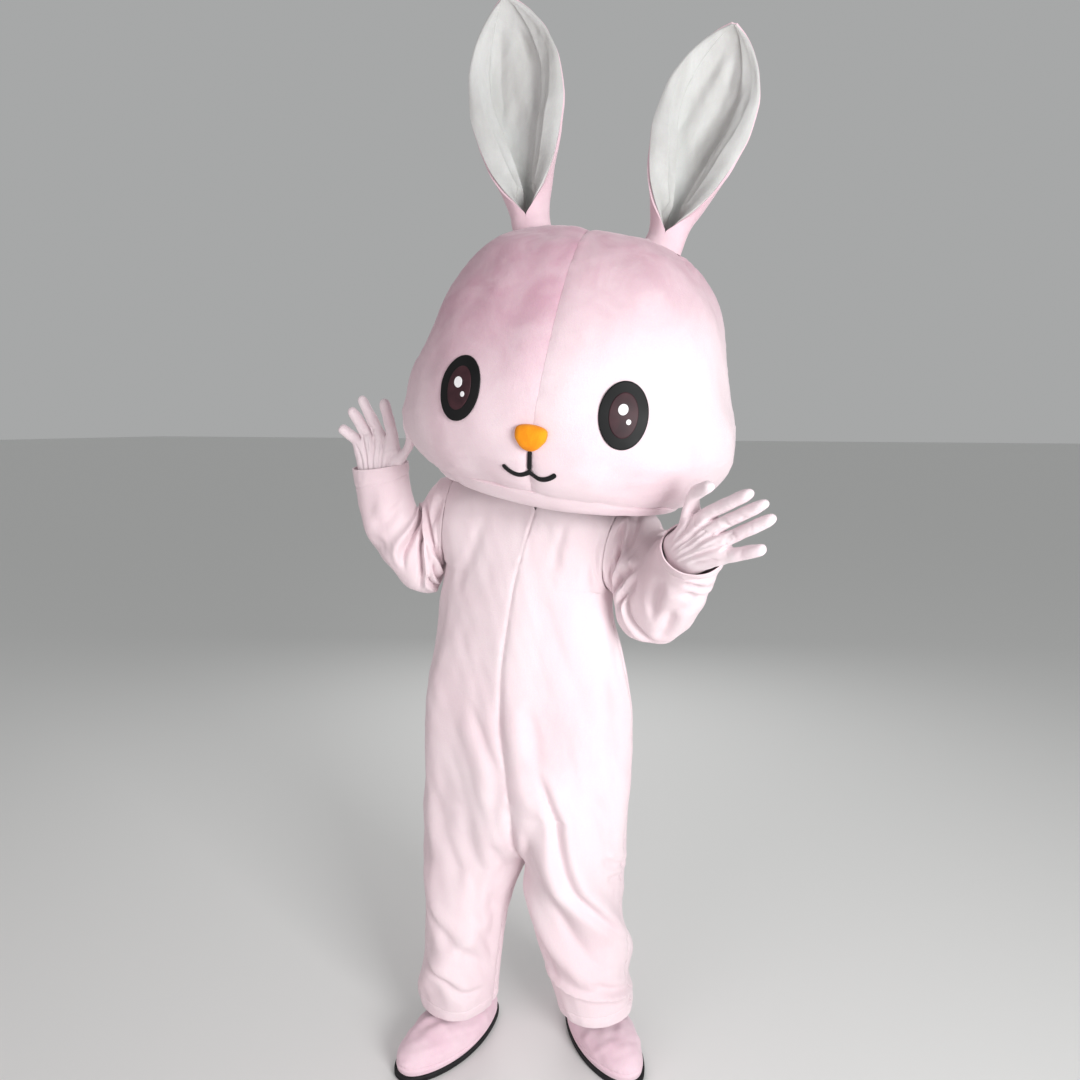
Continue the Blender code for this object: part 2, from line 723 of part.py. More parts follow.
def make_ears():
    """Each ear: a pink outer sheet rolled shut at its foot, and a white padded lining."""
    made = []
    steps = [-1 + 2 * i / 10 for i in range(11)]
    for name in SIDES:
        turn, foot = ear_frame(name)
        thick = np.array([1.0 / EAR_BREADTH[name], 1.0, 1.0 / EAR_LENGTH[name]])
        outer = np.zeros((len(EAR_ROWS), len(steps), 3))
        inner = np.zeros_like(outer)
        for r, share in enumerate(EAR_ROWS):
            for c, step in enumerate(steps):
                place = step * ear_reach(share)
                point = ear_point(place, share)
                normal = ear_normal(place, share) * thick
                pair = [turn @ point + foot, turn @ (point - normal * EAR_SHEET) + foot]
                if r == 0:
                    for one in pair:
                        one[2] = head_top(one[0], one[1]) + SEAM_GAP * 1.5
                outer[r, c], inner[r, c] = [to_room(one) for one in pair]
        made.append(add_wall(f"ear_{name}_outer", outer, inner, "pink plush"))
        lined = EAR_ROWS[2:]
        edged = [-1.0] + steps + [1.0]
        outer = np.zeros((len(lined), len(edged), 3))
        inner = np.zeros_like(outer)
        for r, share in enumerate(lined):
            ends = min(1.0, (share - lined[0]) * 12, (1.0 - share) * 16)
            for c, step in enumerate(edged):
                place = step * (1.0 if c in (0, len(edged) - 1) else ear_reach(share))
                point = ear_point(place, share)
                normal = ear_normal(place, share) * thick
                rim = math.exp(-(((1 - abs(place)) / 0.24) ** 2))
                pad = 0.003 + EAR_RIM * rim * max(0.15, ends)
                back = EAR_SHEET + SEAM_GAP
                outer[r, c] = to_room(turn @ (point - normal * back) + foot)
                inner[r, c] = to_room(turn @ (point - normal * (back + pad)) + foot)
        made.append(add_wall(f"ear_{name}_inner", outer, inner, "white plush"))
    return made


def head_sizes(height):
    """Half width and front depth of the head at a height."""
    low, high = 0.0, len(HEAD) - 1.0
    for _ in range(24):
        middle = (low + high) / 2
        if head_point(middle, 0.0)[2] > height:
            low = middle
        else:
            high = middle
    return head_point(low, math.pi / 2)[0], -head_point(low, 0.0)[1]


def head_top(x, y):
    """Height of the head's upper surface over a point."""
    low, high = 0.0, 8.0
    for _ in range(24):
        middle = (low + high) / 2
        half = abs(head_point(middle, math.pi / 2)[0])
        depth = abs(head_point(middle, math.pi if y > 0 else 0.0)[1])
        if (abs(x) / half) ** HEAD_SQUARE + (abs(y) / depth) ** HEAD_SQUARE > 1:
            low = middle
        else:
            high = middle
    return head_point(high, 0.0)[2]


def face_point(across, up, out=0.0):
    """A point over the face seen from the front, moved out from the head's surface."""
    def on_head(x, z):
        half, depth = head_sizes(z)
        share = min(0.999, abs(x) / half)
        return np.array([x, -depth * (1 - share**HEAD_SQUARE) ** (1 / HEAD_SQUARE), z])
    nudge = 0.002
    along = on_head(across + nudge, up) - on_head(across - nudge, up)
    rise = on_head(across, up + nudge) - on_head(across, up - nudge)
    normal = unit(np.cross(along, rise))
    if normal[1] > 0:
        normal = -normal
    return on_head(across, up) + normal * out


def add_plate(name, outline, centre, low, high, finish, rings=2, dome=0.0):
    """A thin plate over the face: rings of points from an outline in to its centre."""
    count = len(outline)
    points = []
    faces = []
    for level, out in ((0, low), (1, high)):
        for ring in range(rings):
            share = 1 - ring / rings
            rise = dome * math.sqrt(max(0.0, 1 - share**2)) if level else 0.0
            for a, b in outline:
                at = (mix(centre[0], a, share), mix(centre[1], b, share))
                points.append(to_room(face_point(at[0], at[1], out + rise)))
        points.append(to_room(face_point(centre[0], centre[1], out + (dome if level else 0.0))))
    size = rings * count + 1
    for level in (0, 1):
        first = level * size
        for ring in range(rings - 1):
            for i in range(count):
                j = (i + 1) % count
                a, b = first + ring * count + i, first + ring * count + j
                quad = [a, b, b + count, a + count]
                faces.append(quad if level else quad[::-1])
        last = first + (rings - 1) * count
        for i in range(count):
            j = (i + 1) % count
            corner = [last + i, last + j, first + size - 1]
            faces.append(corner if level else corner[::-1])
    for i in range(count):
        j = (i + 1) % count
        faces.append([i, j, size + j, size + i])
    return add_object(name, points, faces, finish)


def oval(centre, half_width, half_height, lean, count):
    """An oval outline seen from the front."""
    turn = math.radians(lean)
    outline = []
    for i in range(count):
        angle = 2 * math.pi * i / count
        a = half_width * math.cos(angle)
        b = half_height * math.sin(angle)
        outline.append((
            centre[0] + a * math.cos(turn) + b * math.sin(turn),
            centre[1] - a * math.sin(turn) + b * math.cos(turn),
        ))
    return outline


def make_eyes():
    """Black ovals, brown irises and two round highlights on each."""
    made = []
    for name, (across, up, half_width, half_height, lean) in EYES.items():
        low = SEAM_GAP * 3
        centre = (across, up)
        outline = oval(centre, half_width, half_height, lean, 20)
        made.append(add_plate(f"eye_{name}", outline, centre, low, low + EYE_PLATE, "black vinyl"))
        low += EYE_PLATE + SEAM_GAP
        outline = oval(centre, half_width * 0.58, half_height * 0.66, lean, 16)
        made.append(add_plate(f"iris_{name}", outline, centre, low, low + EYE_PLATE / 2, "brown vinyl"))
        low += EYE_PLATE / 2 + SEAM_GAP
        lights = (("large", -0.06, 0.16, 0.20), ("small", 0.24, -0.16, 0.10))
        for size, right, above, radius in lights:
            spot = (across + right * half_width, up + above * half_height)
            outline = oval(spot, radius * half_width, radius * half_width * 1.15, 0, 10)
            made.append(add_plate(f"eye_light_{size}_{name}", outline, spot, low, low + EYE_PLATE / 2, "white vinyl", 1))
    return made


def make_nose():
    """A padded nose with a flat top and a round foot."""
    across, up, half_width, half_height, dome = NOSE
    outline = []
    for i in range(18):
        angle = 2 * math.pi * i / 18
        a = half_width * math.cos(angle)
        b = half_height * (power(math.sin(angle), 0.6) * 0.62 if math.sin(angle) > 0 else math.sin(angle) * 1.2)
        outline.append((across + a * (1 - 0.10 * (math.sin(angle) < -0.5)), up + b))
    return [add_plate("nose", outline, (across, up), SEAM_GAP * 3, 0.005, "orange plush", 4, dome)]


def add_stroke(name, path):
    """A flat stitched band that follows the face along a path."""
    outer = np.zeros((len(path), 2, 3))
    inner = np.zeros_like(outer)
    for i, (a, b) in enumerate(path):
        before = path[max(0, i - 1)]
        after = path[min(len(path) - 1, i + 1)]
        along = unit(np.array([after[0] - before[0], after[1] - before[1]]))
        for c, sign in enumerate((-1, 1)):
            x = a - along[1] * sign * MOUTH_STROKE / 2
            z = b + along[0] * sign * MOUTH_STROKE / 2
            outer[i, c] = to_room(face_point(x, z, SEAM_GAP * 3 + MOUTH_THICK))
            inner[i, c] = to_room(face_point(x, z, SEAM_GAP * 3))
    return add_wall(name, outer, inner, "black vinyl")


def make_mouth():
    """A short stem under the nose and a curve to each side of it."""
    top = NOSE[1] - NOSE[3] * 1.2 - 0.001
    foot = top - 0.034
    made = [add_stroke("mouth_stem", [(NOSE[0], mix(top, foot, i / 3)) for i in range(4)])]
    path = []
    for i in range(17):
        share = -1 + 2 * i / 16
        drop = MOUTH_DROP * math.sin(math.pi * min(1.0, abs(share) * 1.1)) - 0.003 * abs(share)
        path.append((NOSE[0] + MOUTH_HALF * share, foot - MOUTH_STROKE / 2 - SEAM_GAP * 2 - drop))
    made.append(add_stroke("mouth_curve", path))
    return made


def hand_axes(name):
    """Wrist, direction to the fingers, direction to the thumb and palm direction of a hand."""
    hand = HANDS[name]
    wrist = np.array(hand["wrist"])
    palm = np.array(hand["palm"])
    tips = {row[0]: np.array(row[1:]) for row in hand["tips"]}
    along = unit(palm - wrist)
    across = tips["index"] - tips["little"]
    across = unit(across - along * np.dot(across, along))
    return wrist, palm, tips, along, across, np.cross(across, along)


def make_gloves():
    """Five-finger gloves: a coarse hand with an open wrist, smoothed and given a wall."""
    made = []
    for name in SIDES:
        wrist, palm, tips, along, across, out = hand_axes(name)
        points = []
        faces = []

        def ring(centre, half_width, half_depth, forward):
            """Ten points round the hand: five over the back, five over the palm."""
            first = len(points)
            for face in (1, -1):
                for i in range(5):
                    share = 1 - i / 2
                    bow = 1 - 0.35 * share**2
                    points.append(centre + across * half_width * share + out * face * half_depth * bow
                                  - forward * 0.010 * share**2)
            return first

        wrist_back = wrist - along * 0.030
        rings = [
            ring(wrist_back, 0.041, 0.036, along * 0),
            ring(wrist + along * 0.022, 0.0405, 0.037, along * 0),
            ring(mix(wrist, palm, 0.62), 0.046, 0.028, along * 0.3),
            ring(palm, PALM_HALF_WIDTH, PALM_HALF_DEPTH, along),
        ]
        loop = [0, 1, 2, 3, 4, 9, 8, 7, 6, 5]
        thumb_face = None
        for low, high in zip(rings, rings[1:]):
            for i in range(10):
                a, b = loop[i], loop[(i + 1) % 10]
                face = [low + a, low + b, high + b, high + a]
                if (a, b) == (5, 0) and low == rings[1]:
                    thumb_face = face
                    continue
                faces.append(face)

        def finger(base, tip, half, sections):
            """Extrudes a finger from a face of the hand to its tip."""
            corners = [points[i] for i in base]
            middle = sum(corners) / 4
            heading = unit(tip - middle)
            first = corners[1] - corners[0] + corners[2] - corners[3]
            first = unit(first - heading * np.dot(first, heading))
            second = corners[3] - corners[0] + corners[2] - corners[1]
            second = second - heading * np.dot(second, heading)
            second = unit(second - first * np.dot(second, first))
            signs = ((-1, -1), (1, -1), (1, 1), (-1, 1))
            previous = list(base)
            for share, size, aside in sections:
                centre = mix(middle, tip, share) + across * aside
                new = []
                for one, two in signs:
                    points.append(centre + first * one * half[0] * size + second * two * half[1] * size)
                    new.append(len(points) - 1)
                for i in range(4):
                    j = (i + 1) % 4
                    faces.append([previous[i], previous[j], new[j], new[i]])
                previous = new
            faces.append(previous)

        top = rings[-1]
        for i, digit in enumerate(("index", "middle", "ring", "little")):
            base = [top + i, top + i + 1, top + i + 6, top + i + 5]
            finger(base, tips[digit], FINGER_HALF, FINGER_SECTIONS)
        finger(thumb_face, tips["thumb"], THUMB_HALF, THUMB_SECTIONS)
        glove = add_object(f"glove_{name}", points, faces, "pink jersey")
        smoother = glove.modifiers.new("smooth", "SUBSURF")
        smoother.levels = 1
        smoother.render_levels = 1
        wall = glove.modifiers.new("wall", "SOLIDIFY")
        wall.thickness = GLOVE_WALL
        wall.offset = -1
        made.append(glove)
    return made


def shoe_outline(angle):
    """Sole outline in the shoe's frame: y towards the toe, origin in the middle of the length."""
    length = 0.152
    y = length * math.cos(angle)
    width = SHOE_HALF_WIDTH * (1.0 + 0.10 * math.cos(angle) - 0.10 * math.cos(2 * angle))
    return np.array([width * power(math.sin(angle), 0.85), y, 0.0])


def shoe_place(name, point):
    """From the shoe's own frame to the room."""
    toe_x, toe_y, heel_x, heel_y = SHOES[name]
    forward = unit(np.array([toe_x - heel_x, toe_y - heel_y, 0.0]))
    sideways = np.array([-forward[1], forward[0], 0.0])
    middle = np.array([(toe_x + heel_x) / 2, (toe_y + heel_y) / 2, 0.0])
    return middle + sideways * point[0] + forward * point[1] + np.array([0.0, 0.0, point[2]])


def shoe_upper(angle, share):
    """The upper from the sole's edge (0) to the ankle rim (1)."""
    foot = shoe_outline(angle) * 0.97
    rim = np.array([
        ANKLE_HALF_WIDTH * math.sin(angle),
        -0.152 + ANKLE_FROM_HEEL + ANKLE_HALF_LENGTH * math.cos(angle),
        0.0,
    ])
    front = (0.5 + 0.5 * math.cos(angle)) ** 2
    quarter = share * math.pi / 2
    point = mix(foot, rim, mix(share, 1 - math.cos(quarter), front))
    height = SHOE_RIM - SOLE_THICK - 0.012 * front
    point[2] = SOLE_THICK + SEAM_GAP + height * mix(share, math.sin(quarter) ** 0.75, front)
    swell = 0.006 * math.sin(math.pi * min(1.0, share * 1.6))
    outward = unit(foot * np.array([1.0, 1.0, 0.0]))
    return point + outward * swell


def make_shoes():
    """Slip-on plush shoes: a padded upper with an ankle opening over a flat black sole."""
    made = []
    columns = 22
    for name in SIDES:
        shares = [0.0, 0.14, 0.28, 0.42, 0.56, 0.70, 0.84, 1.0]
        outer = np.zeros((len(shares), columns, 3))
        inner = np.zeros_like(outer)
        for r, share in enumerate(shares):
            for c in range(columns):
                angle = 2 * math.pi * c / columns
                point = shoe_upper(angle, share)
                along = shoe_upper(angle + 0.02, share) - shoe_upper(angle - 0.02, share)
                low, high = max(0.0, share - 0.02), min(1.0, share + 0.02)
                normal = unit(np.cross(along, shoe_upper(angle, high) - shoe_upper(angle, low)))
                if np.dot(normal, point - np.array([0.0, point[1] * 0.6, 0.0])) < 0:
                    normal = -normal
                if r == 0:
                    normal[2] = 0.0
                    normal = unit(normal)
                outer[r, c] = shoe_place(name, point)
                inner[r, c] = shoe_place(name, point - normal * SHOE_WALL)
        made.append(add_wall(f"shoe_upper_{name}", outer, inner, "pink plush", round_columns=True))
        points = []
        for height in (0.0, SOLE_THICK):
            for c in range(28):
                point = shoe_outline(2 * math.pi * c / 28) * 1.02
                point[2] = height
                points.append(shoe_place(name, point))
        faces = [list(range(28)), list(range(28, 56))[::-1]]
        for c in range(28):
            d = (c + 1) % 28
            faces.append([c, c + 28, d + 28, d])
        made.append(add_object(f"shoe_sole_{name}", points, faces, "black rubber"))
    return made


def main():
    clear_scene()
    hung = bpy.data.objects.new("wearer", None)
    hung.location = -Vector(WEARER_AT)
    bpy.context.scene.collection.objects.link(hung)
    made = make_suit() + make_sleeves() + make_head() + make_ears()
    made += make_eyes() + make_nose() + make_mouth() + make_gloves() + make_shoes()
    collection = bpy.data.collections.new("rabbit_mascot_costume")
    bpy.context.scene.collection.children.link(collection)
    for thing in made:
        thing.parent = hung
        bpy.context.scene.collection.objects.unlink(thing)
        collection.objects.link(thing)


main()
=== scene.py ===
"""Looks of a worn rabbit mascot costume: cloth surfaces, seams, materials, light and camera.

The surfaces follow the same named sizes as the solids. They are worked out in metres above the
floor, and add_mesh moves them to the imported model's frame, whose origin is the neck opening.
"""
import math

import bpy
import numpy as np
from mathutils import Matrix, Vector


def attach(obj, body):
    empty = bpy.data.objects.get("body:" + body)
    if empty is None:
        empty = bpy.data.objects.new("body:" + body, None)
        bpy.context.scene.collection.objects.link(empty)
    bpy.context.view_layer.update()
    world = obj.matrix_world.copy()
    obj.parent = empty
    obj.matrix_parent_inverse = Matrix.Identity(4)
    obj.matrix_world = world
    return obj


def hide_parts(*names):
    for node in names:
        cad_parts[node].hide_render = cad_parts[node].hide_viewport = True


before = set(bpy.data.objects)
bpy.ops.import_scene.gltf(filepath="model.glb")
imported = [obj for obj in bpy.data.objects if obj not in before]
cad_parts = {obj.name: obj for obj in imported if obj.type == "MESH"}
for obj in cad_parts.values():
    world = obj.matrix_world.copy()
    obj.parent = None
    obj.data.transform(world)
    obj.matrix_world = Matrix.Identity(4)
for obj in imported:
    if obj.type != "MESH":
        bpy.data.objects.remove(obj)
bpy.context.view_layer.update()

FLOOR_HALF = 60.0
FLOOR_TONE = (0.78, 0.78, 0.77, 1)
ROOM_TONE = (0.70, 0.71, 0.71, 1)
ROOM_STRENGTH = 0.55
# Lights: place and aim above the floor, size, power in watts, colour
LIGHTS = {
    "key": ((2.6, -2.1, 1.55), (0.0, 0.0, 1.15), 1.4, 100, (1.0, 1.0, 1.0)),
    "fill": ((-1.2, -3.2, 1.2), (0.0, 0.0, 1.0), 2.0, 21, (1.0, 0.84, 0.88)),
    "rim": ((-0.8, 2.6, 2.2), (0.0, 0.0, 1.2), 1.6, 24, (1.0, 1.0, 1.0)),
}

WEARER_AT = np.array((0.025, 0.0, 1.28))
CLOTH = 0.0028
SEAM_GAP = 0.0003
HEAD_WALL = 0.015
SIDES = {"right": -1, "left": 1}

# Suit: torso sections
TORSO_COLUMNS = ("height", "centre_x", "seam_x", "half_width", "front", "back")
TORSO = [
    (1.270, 0.018, 0.050, 0.200, 0.085, 0.085),
    (1.180, 0.006, 0.030, 0.192, 0.112, 0.105),
    (1.090, -0.006, 0.010, 0.190, 0.124, 0.112),
    (1.000, -0.016, -0.004, 0.198, 0.130, 0.116),
    (0.900, -0.017, -0.016, 0.217, 0.136, 0.122),
    (0.800, -0.016, -0.018, 0.233, 0.142, 0.130),
    (0.680, -0.018, -0.006, 0.237, 0.142, 0.136),
    (0.560, -0.018, 0.004, 0.237, 0.136, 0.132),
    (0.450, -0.018, 0.000, 0.232, 0.124, 0.124),
]
NECK_SIDE = 0.085
NECK_HEIGHT = 1.318
NECK_FRONT_HEIGHT = 1.250
NECK_SHARE = 0.42
SHOULDER_SIDE = 0.190
SHOULDER_HEIGHT = 1.272
SHOULDER_TILT = 0.16
UNDERARM_HEIGHT = 1.090
ARMHOLE_DEPTH = 0.078
FRONT_RISE_TOP = 0.600
BACK_RISE_TOP = 0.640
CROTCH_HEIGHT = 0.450

# Suit: leg sections
LEG_COLUMNS = ("height", "centre_x", "centre_y", "half_width", "half_depth")
LEGS = {
    "right": [
        (0.450, -0.125, 0.000, 0.125, 0.124),
        (0.330, -0.146, -0.020, 0.096, 0.108),
        (0.220, -0.154, -0.036, 0.089, 0.098),
        (0.140, -0.160, -0.043, 0.088, 0.094),
        (0.088, -0.165, -0.046, 0.087, 0.092),
    ],
    "left": [
        (0.450, 0.107, 0.000, 0.107, 0.124),
        (0.330, 0.105, 0.008, 0.100, 0.108),
        (0.220, 0.124, 0.018, 0.092, 0.100),
        (0.150, 0.136, 0.026, 0.087, 0.096),
        (0.098, 0.147, 0.030, 0.086, 0.094),
    ],
}

# Largest folds: where each ridge starts and ends round the suit, in quarters from the front
FOLD_COLUMNS = ("top", "top_at", "bottom", "bottom_at", "width", "depth")
FOLDS = [
    (0.640, 0.20, 0.500, 0.42, 0.10, 0.015),
    (0.500, 0.40, 0.180, 1.25, 0.14, 0.019),
    (0.420, 0.15, 0.210, 0.62, 0.11, 0.015),
    (0.200, 0.35, 0.140, 1.05, 0.12, 0.013),
    (1.060, 0.85, 0.760, 0.55, 0.13, 0.012),
    (0.980, 1.05, 0.620, 0.95, 0.14, 0.012),
    (0.420, -0.75, 0.120, -0.35, 0.13, 0.013),
    (0.300, -0.30, 0.110, -0.85, 0.12, 0.012),
    (0.900, -0.50, 0.480, -0.62, 0.15, 0.011),
    (0.560, -0.95, 0.260, -1.05, 0.15, 0.012),
    (0.600, -1.45, 0.330, -1.15, 0.16, 0.013),
    (0.600, 1.55, 0.340, 1.30, 0.16, 0.013),
    (0.260, -1.60, 0.130, -1.25, 0.14, 0.013),
    (0.240, 1.70, 0.130, 1.35, 0.14, 0.013),
    (1.020, -1.55, 0.820, -1.75, 0.16, 0.012),
    (1.040, 1.60, 0.840, 1.75, 0.16, 0.012),
]

# Creases of the suit: width, depth, lip (height of the ridge beside it, + to its left going
# down the path), then the path as (quarters from the front, height)
QUARTER = 0.29
SUIT_CREASES = [
    (0.009, 0.0190, 0.0150, (0.20, 0.720), (0.29, 0.610), (0.48, 0.500), (0.71, 0.395), (1.02, 0.262)),
    (0.014, 0.0096, 0.0048, (0.08, 0.600), (0.20, 0.510), (0.42, 0.432), (0.55, 0.350), (0.80, 0.195)),
    (0.009, 0.0072, 0.0048, (0.62, 0.222), (0.80, 0.178), (1.04, 0.148)),
    (0.008, 0.0072, 0.0036, (0.72, 0.512), (0.90, 0.475), (1.10, 0.448)),
    (0.008, 0.0060, 0.0036, (0.80, 0.462), (0.95, 0.440), (1.12, 0.425)),
    (0.016, 0.0060, 0.0024, (0.50, 0.670), (0.72, 0.580), (0.90, 0.505)),
    (0.012, 0.0072, -0.0036, (0.05, 0.440), (0.15, 0.360), (0.28, 0.260), (0.40, 0.170)),
    (0.010, 0.0084, -0.0036, (-0.20, 0.850), (-0.11, 0.760), (-0.06, 0.673), (-0.09, 0.570)),
    (0.018, 0.0072, 0.0024, (-0.46, 0.640), (-0.52, 0.500), (-0.50, 0.380)),
    (0.016, 0.0084, 0.0036, (-0.26, 0.620), (-0.37, 0.464), (-0.34, 0.330)),
    (0.014, 0.0108, 0.0048, (-0.14, 0.560), (-0.24, 0.423), (-0.13, 0.300), (-0.03, 0.210)),
    (0.009, 0.0120, 0.0072, (-0.84, 0.235), (-0.66, 0.212), (-0.48, 0.185), (-0.32, 0.152), (-0.14, 0.150)),
    (0.011, 0.0084, 0.0048, (-0.76, 0.360), (-0.56, 0.300), (-0.35, 0.251), (-0.08, 0.185)),
    (0.010, 0.0072, 0.0036, (-0.36, 0.360), (-0.20, 0.275), (-0.02, 0.190)),
    (0.014, 0.0033, 0.0013, (0.42, 1.235), (0.32, 1.165), (0.30, 1.110)),
    (0.011, 0.0040, 0.0020, (0.90, 1.215), (0.84, 1.150), (0.86, 1.080)),
    (0.014, 0.0033, 0.0020, (0.80, 1.160), (0.64, 1.080), (0.60, 1.000)),
    (0.020, 0.0040, 0.0013, (0.08, 1.150), (0.28, 1.020), (0.46, 0.910), (0.56, 0.780)),
    (0.020, 0.0040, 0.0013, (0.42, 1.060), (0.68, 0.950), (0.82, 0.840), (0.86, 0.740)),
    (0.012, 0.0060, -0.0036, (0.14, 0.850), (0.20, 0.780), (0.22, 0.700)),
    (0.016, 0.0033, 0.0013, (-0.44, 1.240), (-0.40, 1.150), (-0.46, 1.050)),
    (0.018, 0.0033, 0.0013, (-0.70, 1.130), (-0.62, 0.980), (-0.64, 0.840)),
    (0.018, 0.0033, -0.0013, (-0.92, 1.040), (-0.84, 0.900), (-0.88, 0.700)),
    (0.016, 0.0048, 0.0024, (-0.72, 0.720), (-0.76, 0.560), (-0.72, 0.420)),
    (0.010, 0.0072, 0.0036, (-1.02, 0.200), (-1.20, 0.165), (-1.45, 0.150)),
    (0.012, 0.0084, 0.0048, (-1.10, 0.330), (-1.35, 0.265), (-1.65, 0.215)),
    (0.014, 0.0084, 0.0036, (-1.95, 0.420), (-1.65, 0.350), (-1.30, 0.305)),
    (0.013, 0.0084, 0.0036, (-1.85, 0.560), (-1.60, 0.500), (-1.25, 0.465)),
    (0.012, 0.0084, -0.0036, (1.06, 0.420), (1.34, 0.380), (1.66, 0.372)),
    (0.012, 0.0084, 0.0036, (1.10, 0.262), (1.40, 0.235), (1.72, 0.240)),
    (0.010, 0.0072, 0.0036, (1.90, 0.190), (1.60, 0.160), (1.24, 0.165)),
    (0.013, 0.0072, 0.0036, (1.90, 0.560), (1.60, 0.500), (1.28, 0.480)),
    (0.018, 0.0040, 0.0020, (1.85, 1.150), (1.62, 1.040), (1.55, 0.900)),
    (0.018, 0.0040, -0.0020, (1.40, 1.120), (1.36, 0.960), (1.44, 0.800)),
    (0.018, 0.0040, 0.0020, (-1.85, 1.140), (-1.64, 1.030), (-1.52, 0.880)),
    (0.018, 0.0040, -0.0020, (-1.36, 1.120), (-1.34, 0.960), (-1.40, 0.780)),
    (0.016, 0.0084, 0.0036, (-1.92, 0.800), (-1.72, 0.725), (-1.42, 0.690)),
    (0.016, 0.0084, -0.0036, (1.92, 0.780), (1.70, 0.715), (1.40, 0.700)),
    (0.014, 0.0072, 0.0036, (-1.06, 0.620), (-1.22, 0.560), (-1.48, 0.540)),
    (0.014, 0.0072, 0.0036, (1.06, 0.640), (1.24, 0.570), (1.50, 0.560)),
]
HEM_DEPTH = 0.024

# Sleeves: the near side of the bend and the far side, section by section from the armhole
SLEEVE_COLUMNS = ("near_x", "near_y", "near_z", "far_x", "far_y", "far_z", "half_depth")
SLEEVES = {
    "right": [
        (-0.212, 0.000, 1.296, -0.205, 0.000, 1.098, 0.073),
        (-0.235, -0.005, 1.270, -0.214, -0.005, 1.058, 0.068),
        (-0.249, -0.012, 1.244, -0.238, -0.015, 1.038, 0.065),
        (-0.257, -0.020, 1.230, -0.275, -0.030, 1.047, 0.064),
        (-0.262, -0.024, 1.230, -0.313, -0.045, 1.086, 0.063),
        (-0.266, -0.027, 1.240, -0.347, -0.055, 1.135, 0.062),
        (-0.269, -0.031, 1.262, -0.370, -0.065, 1.192, 0.061),
        (-0.271, -0.036, 1.290, -0.379, -0.075, 1.248, 0.059),
        (-0.272, -0.040, 1.333, -0.384, -0.086, 1.318, 0.058),
    ],
    "left": [
        (0.246, 0.000, 1.244, 0.218, 0.000, 1.045, 0.073),
        (0.270, -0.010, 1.226, 0.220, -0.010, 0.998, 0.070),
        (0.288, -0.028, 1.206, 0.246, -0.020, 0.974, 0.068),
        (0.299, -0.048, 1.197, 0.286, -0.042, 0.974, 0.067),
        (0.305, -0.066, 1.195, 0.330, -0.068, 1.000, 0.066),
        (0.310, -0.088, 1.197, 0.364, -0.100, 1.050, 0.064),
        (0.316, -0.115, 1.201, 0.392, -0.135, 1.100, 0.060),
        (0.322, -0.145, 1.210, 0.414, -0.168, 1.138, 0.058),
        (0.328, -0.174, 1.220, 0.434, -0.198, 1.171, 0.057),
    ],
}
SLEEVE_JOIN = 0.12
SLEEVE_ROUND = 0.40
SLEEVE_LONG = 0.36
CUFF_DEPTH = 0.022

